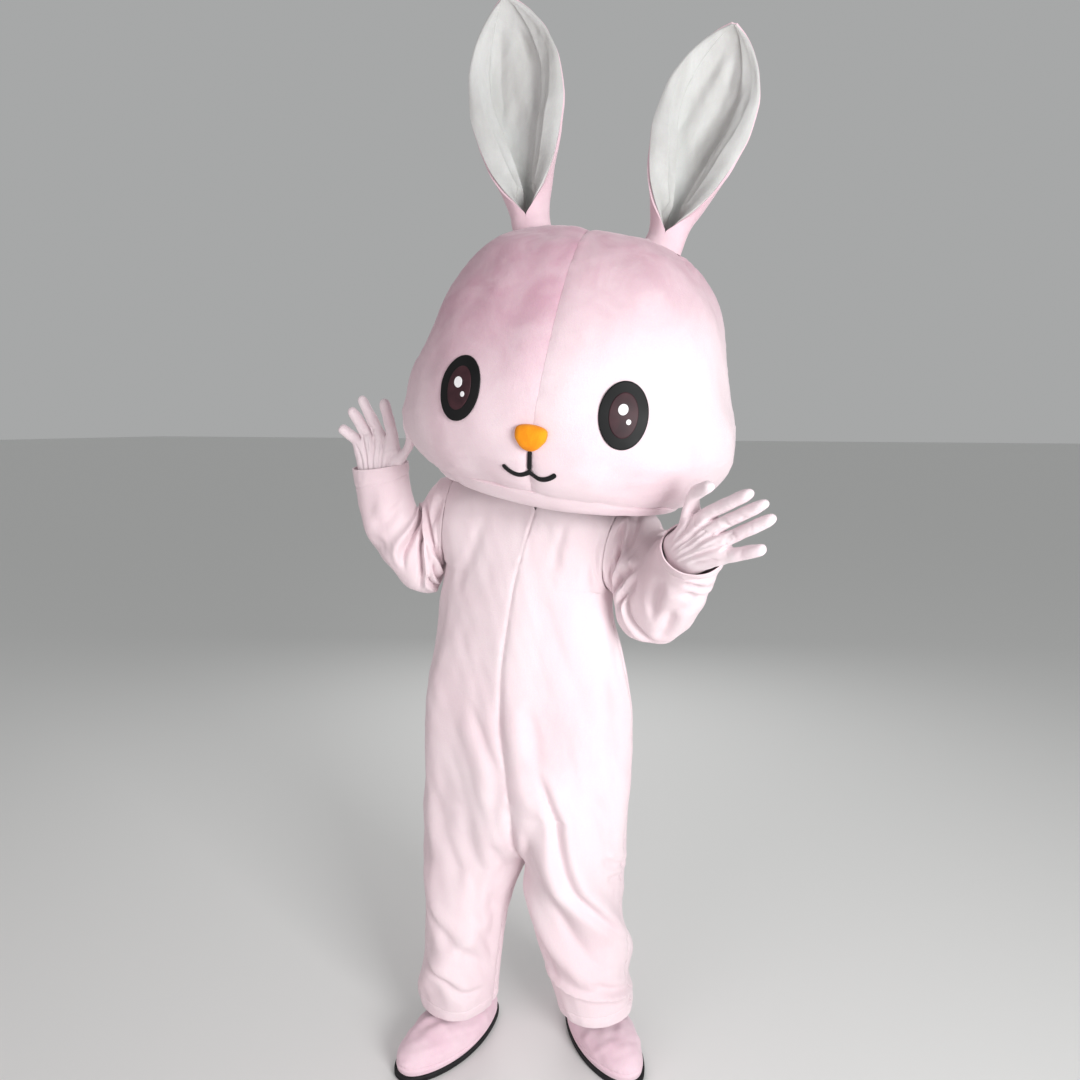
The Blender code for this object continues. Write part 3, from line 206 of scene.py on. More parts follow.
# Creases of each sleeve: width, depth, lip, then the path as (turns round it, share of its length)
SLEEVE_CREASES = {
    "right": [
        (0.0072, 0.0226, 0.0109, (-0.06, 0.46), (0.08, 0.43), (0.19, 0.49), (0.28, 0.53), (0.37, 0.50)),
        (0.0056, 0.0189, -0.0091, (0.02, 0.37), (0.15, 0.35), (0.23, 0.40), (0.33, 0.39), (0.46, 0.41)),
        (0.0080, 0.0131, 0.0073, (0.05, 0.30), (0.15, 0.29), (0.25, 0.23), (0.33, 0.15)),
        (0.0056, 0.0151, 0.0091, (0.26, 0.24), (0.36, 0.14), (0.46, 0.14)),
        (0.0048, 0.0131, 0.0073, (0.30, 0.28), (0.38, 0.24), (0.48, 0.19)),
        (0.0048, 0.0131, 0.0073, (0.33, 0.38), (0.41, 0.29), (0.50, 0.23)),
        (0.0096, 0.0113, 0.0055, (0.18, 0.02), (0.20, 0.12), (0.17, 0.22)),
        (0.0112, 0.0075, 0.0036, (0.30, 0.62), (0.40, 0.68), (0.52, 0.66)),
        (0.0128, 0.0075, 0.0036, (0.10, 0.80), (0.24, 0.74), (0.36, 0.78)),
        (0.0072, 0.0189, 0.0091, (0.04, 0.45), (-0.10, 0.42), (-0.24, 0.47), (-0.36, 0.50)),
        (0.0064, 0.0169, -0.0073, (0.00, 0.36), (-0.14, 0.33), (-0.28, 0.36), (-0.42, 0.34)),
        (0.0080, 0.0131, 0.0073, (-0.08, 0.56), (-0.20, 0.60), (-0.34, 0.58)),
        (0.0096, 0.0113, 0.0055, (-0.14, 0.06), (-0.22, 0.16), (-0.26, 0.26)),
    ],
    "left": [
        (0.0056, 0.0189, 0.0109, (0.33, 0.20), (0.27, 0.24), (0.22, 0.33), (0.17, 0.48)),
        (0.0056, 0.0169, 0.0091, (0.36, 0.26), (0.29, 0.32), (0.25, 0.41), (0.18, 0.50)),
        (0.0056, 0.0169, -0.0073, (0.24, 0.42), (0.31, 0.40), (0.37, 0.44), (0.46, 0.50)),
        (0.0096, 0.0169, 0.0073, (0.12, 0.08), (0.18, 0.16), (0.26, 0.20)),
        (0.0096, 0.0151, -0.0073, (0.02, 0.10), (0.12, 0.21), (0.20, 0.25)),
        (0.0112, 0.0113, 0.0055, (0.25, 0.84), (0.29, 0.68), (0.35, 0.56)),
        (0.0104, 0.0113, 0.0055, (0.38, 0.72), (0.42, 0.60), (0.44, 0.50)),
        (0.0072, 0.0094, 0.0055, (0.32, 0.97), (0.40, 0.95), (0.50, 0.92)),
        (0.0072, 0.0113, 0.0055, (0.33, 0.91), (0.43, 0.86), (0.56, 0.80)),
        (0.0080, 0.0113, 0.0055, (0.36, 0.83), (0.46, 0.78), (0.58, 0.72)),
        (0.0072, 0.0189, 0.0091, (0.04, 0.44), (-0.10, 0.42), (-0.24, 0.46), (-0.36, 0.50)),
        (0.0064, 0.0169, -0.0073, (0.02, 0.34), (-0.14, 0.32), (-0.28, 0.35), (-0.42, 0.33)),
        (0.0080, 0.0131, 0.0073, (-0.06, 0.58), (-0.20, 0.60), (-0.34, 0.58)),
        (0.0096, 0.0113, 0.0055, (-0.14, 0.06), (-0.22, 0.16), (-0.26, 0.26)),
    ],
}

# Head: sections from the crown down to the neck opening, in the head's own frame
HEAD_AT = np.array((0.115, -0.037, 1.515))
HEAD_TURN = 6.0
HEAD_ROLL = 9.5
HEAD_SQUARE = 2.25
HEAD_COLUMNS = ("height", "half_width", "front", "back")
HEAD = [
    (0.262, 0.000, 0.000, 0.000),
    (0.260, 0.070, 0.060, 0.060),
    (0.252, 0.135, 0.115, 0.112),
    (0.228, 0.190, 0.165, 0.160),
    (0.190, 0.231, 0.203, 0.197),
    (0.130, 0.266, 0.240, 0.233),
    (0.060, 0.288, 0.266, 0.256),
    (-0.010, 0.307, 0.284, 0.268),
    (-0.070, 0.327, 0.294, 0.272),
    (-0.120, 0.333, 0.292, 0.266),
    (-0.165, 0.316, 0.276, 0.248),
    (-0.200, 0.286, 0.252, 0.224),
    (-0.226, 0.250, 0.226, 0.198),
]
BASE = [
    (-0.226, 0.250, 0.226, 0.198),
    (-0.252, 0.240, 0.192, 0.184),
    (-0.260, 0.230, 0.152, 0.170),
]
BASE_SIDE_RISE = 0.036

# Ears: sections from the foot to the tip, in the ear's own frame
EAR_AT = (0.127, 0.005, 0.240)
EAR_LEAN = {"right": 17.5, "left": 7.0}
EAR_LENGTH = {"right": 0.468, "left": 0.428}
EAR_BREADTH = {"right": 1.05, "left": 1.0}
EAR_SHEET = 0.004
EAR_EDGE = 0.95
EAR_LINED_FROM = 0.11
EAR_TIP = 0.998
EAR_COLUMNS = ("share", "half_width", "roll")
EAR = [
    (0.000, 0.037, 178.5),
    (0.080, 0.036, 178.0),
    (0.120, 0.038, 160.0),
    (0.200, 0.049, 124.0),
    (0.300, 0.066, 96.0),
    (0.420, 0.083, 76.0),
    (0.560, 0.094, 64.0),
    (0.700, 0.091, 56.0),
    (0.820, 0.075, 50.0),
    (0.910, 0.052, 44.0),
    (0.970, 0.027, 38.0),
    (1.000, 0.004, 34.0),
]
EAR_RIM = 0.029
# Hollow of the lining: its width to the left and right of the ear's middle, as a share of what
# HOLLOW_HALF gives from the foot to the top, and how high each rim stands over it. Its deepest
# line runs along the rim at -1, and it rises by HOLLOW_SLOPE towards the other rim.
LINING_HOLLOW = {"right": (1.05, 1.00, 1.0, 1.0), "left": (1.10, 1.00, 1.0, 0.9)}
HOLLOW_HALF = (0.11, 0.52)
HOLLOW_SLOPE = 0.008

# Folds of the lining: width, depth, lip, then the path as (across from -1 to 1, share up the ear)
LINING_FOLDS = {
    "right": [
        (0.009, 0.0060, 0.0040, (-0.30, 0.92), (-0.42, 0.70), (-0.44, 0.48)),
        (0.009, 0.0060, -0.0040, (0.20, 0.92), (0.30, 0.70), (0.34, 0.46)),
        (0.010, 0.0030, 0.0020, (-0.02, 0.86), (-0.10, 0.62), (-0.06, 0.40)),
    ],
    "left": [
        (0.009, 0.0050, 0.0040, (-0.10, 0.94), (-0.34, 0.70), (-0.46, 0.48)),
        (0.009, 0.0060, -0.0040, (0.30, 0.92), (0.12, 0.66), (-0.04, 0.44)),
        (0.010, 0.0050, 0.0030, (0.52, 0.82), (0.40, 0.60), (0.30, 0.36)),
    ],
}

# Face, as seen from the front of the head: across, up, half width, half height, lean
EYES = {
    "right": (-0.145, -0.063, 0.0400, 0.0575, 5.0),
    "left": (0.145, -0.063, 0.0400, 0.0575, -5.0),
}
EYE_PLATE = 0.0020
NOSE = (0.0, -0.117, 0.028, 0.024, 0.015)
MOUTH_STROKE = 0.008
MOUTH_THICK = 0.0018
MOUTH_HALF = 0.048
MOUTH_FALL = 0.031
MOUTH_RISE = 0.038

# Gloves: wrist, palm and the five finger tips
HANDS = {
    "right": {
        "wrist": (-0.329, -0.063, 1.300),
        "palm": (-0.325, -0.085, 1.385),
        "index": (-0.291, -0.105, 1.466),
        "middle": (-0.336, -0.122, 1.472),
        "ring": (-0.362, -0.122, 1.448),
        "little": (-0.396, -0.112, 1.408),
        "thumb": (-0.236, -0.104, 1.430),
    },
    "left": {
        "wrist": (0.378, -0.184, 1.194),
        "palm": (0.430, -0.242, 1.230),
        "index": (0.489, -0.290, 1.307),
        "middle": (0.514, -0.292, 1.292),
        "ring": (0.526, -0.287, 1.268),
        "little": (0.512, -0.276, 1.214),
        "thumb": (0.423, -0.292, 1.318),
    },
}
PALM_HALF_WIDTH = 0.053
PALM_HALF_DEPTH = 0.023
FINGER_HALF = (0.0125, 0.0150)
THUMB_HALF = (0.0150, 0.0145)
FINGER_SECTIONS = ((0.30, 1.0, 0.0), (0.80, 1.0, 0.0), (1.02, 0.72, 0.0))
THUMB_SECTIONS = ((0.40, 0.80, 0.024), (0.80, 1.0, 0.006), (1.02, 0.70, 0.0))
GLOVE_WALL = 0.0012

# Creases of a glove: width, depth, lip, then the path as (towards the thumb, towards the fingers)
GLOVE_CREASES = [
    (0.0030, 0.0060, 0.0020, (0.0265, 0.118), (0.022, 0.080), (0.016, 0.045), (0.012, -0.010)),
    (0.0032, 0.0065, -0.0020, (0.0000, 0.120), (0.001, 0.080), (-0.003, 0.045), (-0.002, -0.010)),
    (0.0030, 0.0060, 0.0020, (-0.0265, 0.116), (-0.020, 0.080), (-0.015, 0.045), (-0.011, -0.010)),
    (0.0025, 0.0035, 0.0016, (0.0140, 0.092), (0.011, 0.060), (0.006, 0.010)),
    (0.0025, 0.0035, 0.0016, (-0.0130, 0.094), (-0.009, 0.062), (-0.007, 0.010)),
    (0.0030, 0.0040, 0.0016, (0.0480, 0.062), (0.034, 0.044), (0.022, 0.000)),
    (0.0026, 0.0030, 0.0014, (-0.0420, 0.084), (-0.030, 0.055), (-0.022, 0.010)),
]

# Shoes: toe x, toe y, heel x, heel y
SHOES = {
    "right": (-0.213, -0.232, -0.118, 0.040),
    "left": (0.268, -0.088, 0.060, 0.140),
}
SHOE_HALF_LENGTH = 0.152
SHOE_HALF_WIDTH = 0.062
SOLE_THICK = 0.014
SHOE_RIM = 0.098
SHOE_WALL = 0.006
ANKLE_HALF_WIDTH = 0.043
ANKLE_HALF_LENGTH = 0.048
ANKLE_FROM_HEEL = 0.075


# Shared maths
def smooth(start, end, at):
    """Eases from 0 at start to 1 at end."""
    share = np.clip((at - start) / (end - start), 0.0, 1.0)
    return share * share * (3 - 2 * share)


def mix(first, second, share):
    return first * (1 - share) + second * share


def hill(distance, width):
    """A bell of height 1."""
    return np.exp(-((distance / width) ** 2))


def unit(vectors):
    length = np.linalg.norm(vectors, axis=-1, keepdims=True)
    return vectors / np.maximum(length, 1e-12)


def curve(keys, values):
    """A smooth curve through rows of a table, as a function of numpy arrays."""
    keys = np.array(keys, float)
    values = np.array(values, float)
    if keys[0] > keys[-1]:
        keys = keys[::-1]
        values = values[::-1]
    slopes = np.diff(values) / np.diff(keys)
    before, after = slopes[:-1], slopes[1:]
    turn = before * after <= 0
    middle = np.where(turn, 0.0, 2 * before * after / np.where(turn, 1.0, before + after))
    tangents = np.concatenate([slopes[:1], middle, slopes[-1:]])

    def at(x):
        x = np.clip(x, keys[0], keys[-1])
        i = np.clip(np.searchsorted(keys, x, side="right") - 1, 0, len(keys) - 2)
        span = keys[i + 1] - keys[i]
        t = (x - keys[i]) / span
        start = values[i] * (2 * t**3 - 3 * t**2 + 1) + tangents[i] * span * (t**3 - 2 * t**2 + t)
        return start + values[i + 1] * (3 * t**2 - 2 * t**3) + tangents[i + 1] * span * (t**3 - t**2)

    return at


def columns_of(rows, names, numbered=False):
    """Each column of a table as a curve over its first column, or over the number of the row."""
    keys = range(len(rows)) if numbered else [row[0] for row in rows]
    return {name: curve(list(keys), [row[i] for row in rows]) for i, name in enumerate(names)}


def vectors(x, y, z):
    return np.stack(np.broadcast_arrays(x, y, z), -1).astype(float)


def grid_normals(points, wrap=False):
    """Directions square to a grid of points, before they are turned outwards."""
    down = np.gradient(points, axis=0)
    if wrap:
        across = np.roll(points, -1, 1) - np.roll(points, 1, 1)
    else:
        across = np.gradient(points, axis=1)
    return unit(np.cross(down, across))


def ripple(points, seed, size, count=24):
    """Soft uneven waves of about the given lengths along x, y and z, about 1 high."""
    chance = np.random.default_rng(seed)
    total = np.zeros(points.shape[:-1])
    for _ in range(count):
        wave = 2 * math.pi * chance.normal(size=3) / np.array(size)
        total += np.sin(points @ wave + chance.uniform(0, 2 * math.pi))
    return total / math.sqrt(count / 2)


def smooth_path(path, steps=16):
    """More points on a smooth line through those of a path."""
    path = np.array(path, float)
    order = np.arange(len(path))
    at = np.linspace(0, len(path) - 1, steps)
    return np.stack([curve(order, path[:, k])(at) for k in (0, 1)], -1)


def crease_lift(rows, across, up, scale):
    """How far creases lift a surface: a soft trough along each path with a ridge beside it."""
    x, y = across * scale[0], up * scale[1]
    lift = np.zeros(x.shape)
    for width, depth, lip, *path in rows:
        line = smooth_path(path) * np.array(scale)
        nearest = np.full(x.shape, 1e9)
        side = np.zeros(x.shape)
        along = np.zeros(x.shape)
        for i, (start, end) in enumerate(zip(line, line[1:])):
            way = end - start
            share = np.clip(((x - start[0]) * way[0] + (y - start[1]) * way[1]) / (way @ way), 0, 1)
            off_x, off_y = x - start[0] - share * way[0], y - start[1] - share * way[1]
            distance = np.hypot(off_x, off_y)
            closer = distance < nearest
            nearest = np.where(closer, distance, nearest)
            side = np.where(closer, np.sign(way[0] * off_y - way[1] * off_x), side)
            along = np.where(closer, (i + share) / (len(line) - 1), along)
        fade = smooth(0.0, 0.3, along) * (1 - smooth(0.7, 1.0, along))
        grow = mix(0.7, 1.15, fade) * width
        lift -= depth * fade * hill(nearest, grow)
        lift += abs(lip) * fade * hill(nearest * side * math.copysign(1, lip) - 2.0 * grow, 1.5 * grow)
    return lift


# Meshes and pieces
def add_mesh(name, points, faces):
    """A mesh object from points above the floor, with its faces turned outwards."""
    mesh = bpy.data.meshes.new(name)
    mesh.from_pydata((np.asarray(points) - WEARER_AT).tolist(), [], [list(map(int, f)) for f in faces])
    mesh.update()
    thing = bpy.data.objects.new(name, mesh)
    bpy.context.scene.collection.objects.link(thing)
    corners = np.array([v.co for v in mesh.vertices])
    mesh.calc_loop_triangles()
    triangles = corners[np.array([t.vertices for t in mesh.loop_triangles])]
    volume = np.einsum("ij,ij->i", triangles[:, 0], np.cross(triangles[:, 1], triangles[:, 2])).sum()
    if volume < 0:
        mesh.flip_normals()
    mesh.shade_smooth()
    mesh.set_sharp_from_angle(angle=math.radians(55))
    return thing


def add_wall(name, outer, inner, wrap=False, pole=False):
    """Closes two matching grids of points into one wall with rims along its free edges."""
    rows, columns = outer.shape[:2]
    count = rows * columns
    points = np.concatenate([outer.reshape(-1, 3), inner.reshape(-1, 3)])
    steps = columns if wrap else columns - 1
    row, column = np.meshgrid(np.arange(rows - 1), np.arange(steps), indexing="ij")
    after = (column + 1) % columns
    a, b = row * columns + column, (row + 1) * columns + column
    c, d = (row + 1) * columns + after, row * columns + after
    faces = [np.stack([a, b, c, d], -1).reshape(-1, 4), np.stack([a, d, c, b], -1).reshape(-1, 4) + count]
    step = np.arange(steps)
    after = (step + 1) % columns
    last = (rows - 1) * columns
    if not pole:
        faces.append(np.stack([step, after, after + count, step + count], -1))
    faces.append(np.stack([step + last + count, after + last + count, after + last, step + last], -1))
    if not wrap:
        for edge, flip in ((0, False), (columns - 1, True)):
            top = np.arange(rows - 1) * columns + edge
            low = top + columns
            quad = [top + count, low + count, low, top]
            faces.append(np.stack(quad[::-1] if flip else quad, -1))
    faces = np.concatenate(faces)
    if not pole:
        return add_mesh(name, points, faces)
    faces[faces < columns] = 0
    faces[(faces >= count) & (faces < count + columns)] = count
    used = np.unique(faces)
    number = np.zeros(2 * count, int)
    number[used] = np.arange(len(used))
    clean = []
    for face in number[faces]:
        corners = [i for n, i in enumerate(face) if i != face[n - 1]]
        if len(corners) > 2:
            clean.append(corners)
    return add_mesh(name, points[used], clean)


def dress(piece, node, finish):
    """Gives a piece its material and puts it in place of a node."""
    piece.data.materials.clear()
    piece.data.materials.append(finish)
    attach(piece, "root")
    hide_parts(node)
    return piece


def declare_cut(piece):
    """Returns the piece unchanged."""
    return piece


# Materials
def fabric(name, colour, shade, patch=6.0, grain=650.0, bump=0.35, sheen=0.35, pile=0.0009, rough=0.92, crown=None):
    """A pile or knit: two tones brushed over each other, fine grain and a soft sheen.

    The last argument, where given, is painted shade towards the top: a deeper tone, and the heights it fades in
    between.
    """
    finish = bpy.data.materials.new(name)
    finish.use_nodes = True
    nodes, links = finish.node_tree.nodes, finish.node_tree.links
    shader = nodes["Principled BSDF"]
    shader.inputs["Roughness"].default_value = rough
    shader.inputs["Specular IOR Level"].default_value = 0.18
    shader.inputs["Sheen Weight"].default_value = sheen
    shader.inputs["Sheen Roughness"].default_value = 0.45
    shader.inputs["Sheen Tint"].default_value = (1.0, 0.93, 0.95, 1)
    place = nodes.new("ShaderNodeTexCoord")
    stretch = nodes.new("ShaderNodeMapping")
    stretch.inputs["Scale"].default_value = (1.0, 1.0, 0.55)
    links.new(place.outputs["Object"], stretch.inputs["Vector"])
    brushed = nodes.new("ShaderNodeTexNoise")
    brushed.inputs["Scale"].default_value = patch
    brushed.inputs["Detail"].default_value = 5.0
    brushed.inputs["Roughness"].default_value = 0.62
    brushed.inputs["Distortion"].default_value = 0.6
    links.new(stretch.outputs["Vector"], brushed.inputs["Vector"])
    tone = nodes.new("ShaderNodeValToRGB")
    tone.color_ramp.elements[0].position = 0.36
    tone.color_ramp.elements[0].color = (*shade, 1)
    tone.color_ramp.elements[1].position = 0.60
    tone.color_ramp.elements[1].color = (*colour, 1)
    links.new(brushed.outputs["Fac"], tone.inputs["Fac"])
    fine = nodes.new("ShaderNodeTexNoise")
    fine.inputs["Scale"].default_value = grain
    fine.inputs["Detail"].default_value = 3.0
    links.new(place.outputs["Object"], fine.inputs["Vector"])
    speck = nodes.new("ShaderNodeMix")
    speck.data_type = "RGBA"
    speck.blend_type = "SOFT_LIGHT"
    speck.inputs["Factor"].default_value = 0.30
    links.new(tone.outputs["Color"], speck.inputs["A"])
    # Painted shade: higher up, the pile's tones are mixed towards the deeper tone in uneven patches, standing for the
    # shade on the top.
    if crown:
        deep, low, high = crown
        parts = nodes.new("ShaderNodeSeparateXYZ")
        links.new(place.outputs["Object"], parts.inputs["Vector"])
        rise = nodes.new("ShaderNodeMapRange")
        rise.interpolation_type = "SMOOTHSTEP"
        rise.inputs["From Min"].default_value = low
        rise.inputs["From Max"].default_value = high
        links.new(parts.outputs["Z"], rise.inputs["Value"])
        swirl = nodes.new("ShaderNodeTexNoise")
        swirl.inputs["Scale"].default_value = 9.0
        swirl.inputs["Detail"].default_value = 5.0
        swirl.inputs["Distortion"].default_value = 2.2
        links.new(place.outputs["Object"], swirl.inputs["Vector"])
        patchy = nodes.new("ShaderNodeMapRange")
        patchy.inputs["From Min"].default_value = 0.35
        patchy.inputs["From Max"].default_value = 0.65
        patchy.inputs["To Min"].default_value = 0.68
        links.new(swirl.outputs["Fac"], patchy.inputs["Value"])
        share = nodes.new("ShaderNodeMath")
        share.operation = "MULTIPLY"
        links.new(rise.outputs["Result"], share.inputs[0])
        links.new(patchy.outputs["Result"], share.inputs[1])
        top_shade_mix = nodes.new("ShaderNodeMix")
        top_shade_mix.data_type = "RGBA"
        top_shade_mix.inputs["B"].default_value = (*deep, 1)
        links.new(share.outputs["Value"], top_shade_mix.inputs["Factor"])
        links.new(tone.outputs["Color"], top_shade_mix.inputs["A"])
        links.new(top_shade_mix.outputs["Result"], speck.inputs["A"])
    links.new(fine.outputs["Color"], speck.inputs["B"])
    links.new(speck.outputs["Result"], shader.inputs["Base Color"])
    tufts = nodes.new("ShaderNodeTexNoise")
    tufts.inputs["Scale"].default_value = grain * 0.22
    tufts.inputs["Detail"].default_value = 4.0
    tufts.inputs["Roughness"].default_value = 0.7
    links.new(stretch.outputs["Vector"], tufts.inputs["Vector"])
    both = nodes.new("ShaderNodeMath")
    both.operation = "ADD"
    links.new(fine.outputs["Fac"], both.inputs[0])
    links.new(tufts.outputs["Fac"], both.inputs[1])
    relief = nodes.new("ShaderNodeBump")
    relief.inputs["Strength"].default_value = bump
    relief.inputs["Distance"].default_value = pile
    links.new(both.outputs["Value"], relief.inputs["Height"])
    links.new(relief.outputs["Normal"], shader.inputs["Normal"])
    return finish


def smooth_stuff(name, colour, shade, rough, grain, bump, shine=0.22):
    """Vinyl, felt or rubber: a faint mottle with a fine grain."""
    finish = bpy.data.materials.new(name)
    finish.use_nodes = True
    nodes, links = finish.node_tree.nodes, finish.node_tree.links
    shader = nodes["Principled BSDF"]
    shader.inputs["Specular IOR Level"].default_value = shine
    place = nodes.new("ShaderNodeTexCoord")
    noise = nodes.new("ShaderNodeTexNoise")
    noise.inputs["Scale"].default_value = 38.0
    noise.inputs["Detail"].default_value = 4.0
    links.new(place.outputs["Object"], noise.inputs["Vector"])
    tone = nodes.new("ShaderNodeValToRGB")
    tone.color_ramp.elements[0].position = 0.35
    tone.color_ramp.elements[0].color = (*shade, 1)
    tone.color_ramp.elements[1].position = 0.65
    tone.color_ramp.elements[1].color = (*colour, 1)
    links.new(noise.outputs["Fac"], tone.inputs["Fac"])
    links.new(tone.outputs["Color"], shader.inputs["Base Color"])
    wear = nodes.new("ShaderNodeMapRange")
    wear.inputs["To Min"].default_value = rough - 0.06
    wear.inputs["To Max"].default_value = rough + 0.08
    links.new(noise.outputs["Fac"], wear.inputs["Value"])
    links.new(wear.outputs["Result"], shader.inputs["Roughness"])
    fine = nodes.new("ShaderNodeTexNoise")
    fine.inputs["Scale"].default_value = grain
    links.new(place.outputs["Object"], fine.inputs["Vector"])
    relief = nodes.new("ShaderNodeBump")
    relief.inputs["Strength"].default_value = bump
    relief.inputs["Distance"].default_value = 0.0005
    links.new(fine.outputs["Fac"], relief.inputs["Height"])
    links.new(relief.outputs["Normal"], shader.inputs["Normal"])
    return finish


SUIT_CLOTH = fabric("suit plush", (0.82, 0.705, 0.735), (0.79, 0.64, 0.68), patch=4.0, sheen=0.35, bump=0.5)
# The head plush carries painted shade that darkens it towards the top.
HEAD_CLOTH = fabric("head plush", (0.81, 0.68, 0.715), (0.77, 0.60, 0.65), patch=4.0, sheen=0.4, bump=0.5,
                    crown=((0.60, 0.37, 0.44), 0.20, 0.47))
# Painted shade: a darker copy of the head plush for the right half, away from the key light, with its painted shade
# on top starting lower.
HEAD_SHADED_SIDE = fabric("head plush painted shade side", (0.80, 0.66, 0.70), (0.76, 0.58, 0.635), patch=4.0, sheen=0.4,
                      bump=0.5, crown=((0.58, 0.34, 0.42), 0.10, 0.38))
EAR_CLOTH = fabric("ear plush", (0.80, 0.61, 0.665), (0.76, 0.54, 0.605), patch=8.0, sheen=0.35, bump=0.5)
WHITE_CLOTH = fabric("white plush", (0.60, 0.605, 0.595), (0.50, 0.50, 0.485), patch=9.0, sheen=0.2, bump=0.45)
GLOVE_CLOTH = fabric("glove jersey", (0.85, 0.745, 0.775), (0.83, 0.69, 0.73), patch=14.0, grain=1100.0,
                     bump=0.25, sheen=0.3)
SHOE_CLOTH = fabric("shoe plush", (0.81, 0.62, 0.685), (0.79, 0.57, 0.65), patch=12.0, sheen=0.4, bump=0.45)
NOSE_CLOTH = fabric("nose plush", (0.90, 0.33, 0.012), (0.80, 0.24, 0.008), patch=30.0, bump=0.3, sheen=0.1)
EYE_BLACK = smooth_stuff("eye black", (0.0050, 0.0055, 0.0060), (0.0035, 0.0038, 0.0040), 0.50, 900.0, 0.10)
EYE_BROWN = smooth_stuff("eye brown", (0.050, 0.018, 0.023), (0.028, 0.010, 0.014), 0.44, 900.0, 0.08)
EYE_WHITE = smooth_stuff("eye white", (0.86, 0.86, 0.87), (0.82, 0.82, 0.83), 0.35, 900.0, 0.05)
THREAD_BLACK = smooth_stuff("mouth thread", (0.012, 0.012, 0.013), (0.006, 0.006, 0.007), 0.60, 700.0, 0.5)
RUBBER = smooth_stuff("sole rubber", (0.020, 0.020, 0.022), (0.012, 0.012, 0.013), 0.62, 420.0, 0.4)


# Suit
TORSO_AT = columns_of(TORSO, TORSO_COLUMNS)
LEGS_AT = {name: columns_of(rows, LEG_COLUMNS) for name, rows in LEGS.items()}


def tilt(points):
    """Leans the shoulders: the left one sits lower than the right."""
    share = smooth(0.90, 1.20, points[..., 2])
    moved = points.copy()
    moved[..., 2] -= SHOULDER_TILT * (points[..., 0] - 0.018) * share
    return moved


def armhole(side, front, turn):
    """Points of the armhole: turn runs from 0 at the shoulder to 1 under the arm."""
    angle = math.pi * turn
    middle = (SHOULDER_HEIGHT + UNDERARM_HEIGHT) / 2
    half = (SHOULDER_HEIGHT - UNDERARM_HEIGHT) / 2
    height = middle + half * np.cos(angle)
    across = mix(SHOULDER_SIDE, float(TORSO_AT["half_width"](UNDERARM_HEIGHT)), smooth(0, 1, turn))
    across = across - 0.012 * np.sin(angle)
    return vectors(TORSO_AT["centre_x"](height) + side * across, -front * ARMHOLE_DEPTH * np.sin(angle), height)


def neckline(side, front, turn):
    """Points of the neckline: turn runs from 0 at the shoulder seam to 1 at the centre seam."""
    angle = math.pi / 2 * turn
    low = NECK_FRONT_HEIGHT + (0.0 if front > 0 else 0.03)
    height = mix(NECK_HEIGHT, low, 1 - np.cos(angle))
    centre = mix(0.025, float(TORSO_AT["seam_x"](NECK_FRONT_HEIGHT)), turn)
    depth = float(TORSO_AT["front"](NECK_FRONT_HEIGHT))
    return vectors(centre + side * NECK_SIDE * np.cos(angle), -front * depth * np.sin(angle), height)


def panel(side, front, u, v):
    """The suit's outer surface without folds, for u across and v down as in the solids."""
    legs = LEGS_AT["left" if side > 0 else "right"]
    deep = TORSO_AT["front" if front > 0 else "back"]
    rise = FRONT_RISE_TOP if front > 0 else BACK_RISE_TOP
    yoke = np.minimum(v, 1.0)
    outer = armhole(side, front, yoke)
    start = NECK_FRONT_HEIGHT + (0.0 if front > 0 else 0.03)
    height = mix(start, UNDERARM_HEIGHT, np.clip((yoke - NECK_SHARE) / (1 - NECK_SHARE), 0, 1))
    seam = vectors(TORSO_AT["seam_x"](height), -front * deep(height), height)
    collar = neckline(side, front, np.minimum(yoke / NECK_SHARE, 1.0))
    inner = np.where((yoke <= NECK_SHARE)[..., None], collar, seam)
    fullness = smooth(0.0, 1.0, yoke)
    across = mix(u, np.sin(u * math.pi / 2), fullness)
    inward = mix(1 - u, np.cos(u * math.pi / 2), fullness)
    swell = front * -0.018 * np.sin(math.pi * u) * np.sin(math.pi * yoke) * (1 - fullness)
    top = vectors(
        mix(inner[..., 0], outer[..., 0], across),
        outer[..., 1] + (inner[..., 1] - outer[..., 1]) * inward + swell,
        mix(inner[..., 2], outer[..., 2], across),
    )
    quarter = np.clip(v - 2, 0, 1) * math.pi / 2
    above_crotch = mix(UNDERARM_HEIGHT, rise, np.clip(v - 1, 0, 1))
    height = np.where(v <= 2, above_crotch, rise - (rise - CROTCH_HEIGHT) * np.sin(quarter))
    leg_height = mix(CROTCH_HEIGHT, float(LEGS["left" if side > 0 else "right"][-1][0]), np.clip(v - 3, 0, 1))
    leg = v > 3
    turned = np.where(leg, 0.0, math.pi / 2 - quarter)
    centre, half = TORSO_AT["centre_x"](height), TORSO_AT["half_width"](height)
    middle, leg_half = legs["centre_x"](leg_height), legs["half_width"](leg_height)
    start_x = np.where(leg, middle - side * leg_half, TORSO_AT["seam_x"](height))
    end_x = np.where(leg, middle + side * leg_half, centre + side * half)
    depth = np.where(leg, legs["half_depth"](leg_height), deep(height))
    middle_y = np.where(leg, legs["centre_y"](leg_height), 0.0)
    inner_cos = np.cos(turned)
    share = mix(np.sin(u * math.pi / 2), (1 - np.cos(u * math.pi)) / 2, inner_cos)
    across = inner_cos - share * (1 + inner_cos)
    deep_share = np.sqrt(np.maximum(0.0, 1 - across**2))
    low_y = middle_y - front * depth * deep_share
    low = vectors(mix(start_x, end_x, share), low_y, np.where(leg, leg_height, height))
    return tilt(np.where((v <= 1)[..., None], top, low))


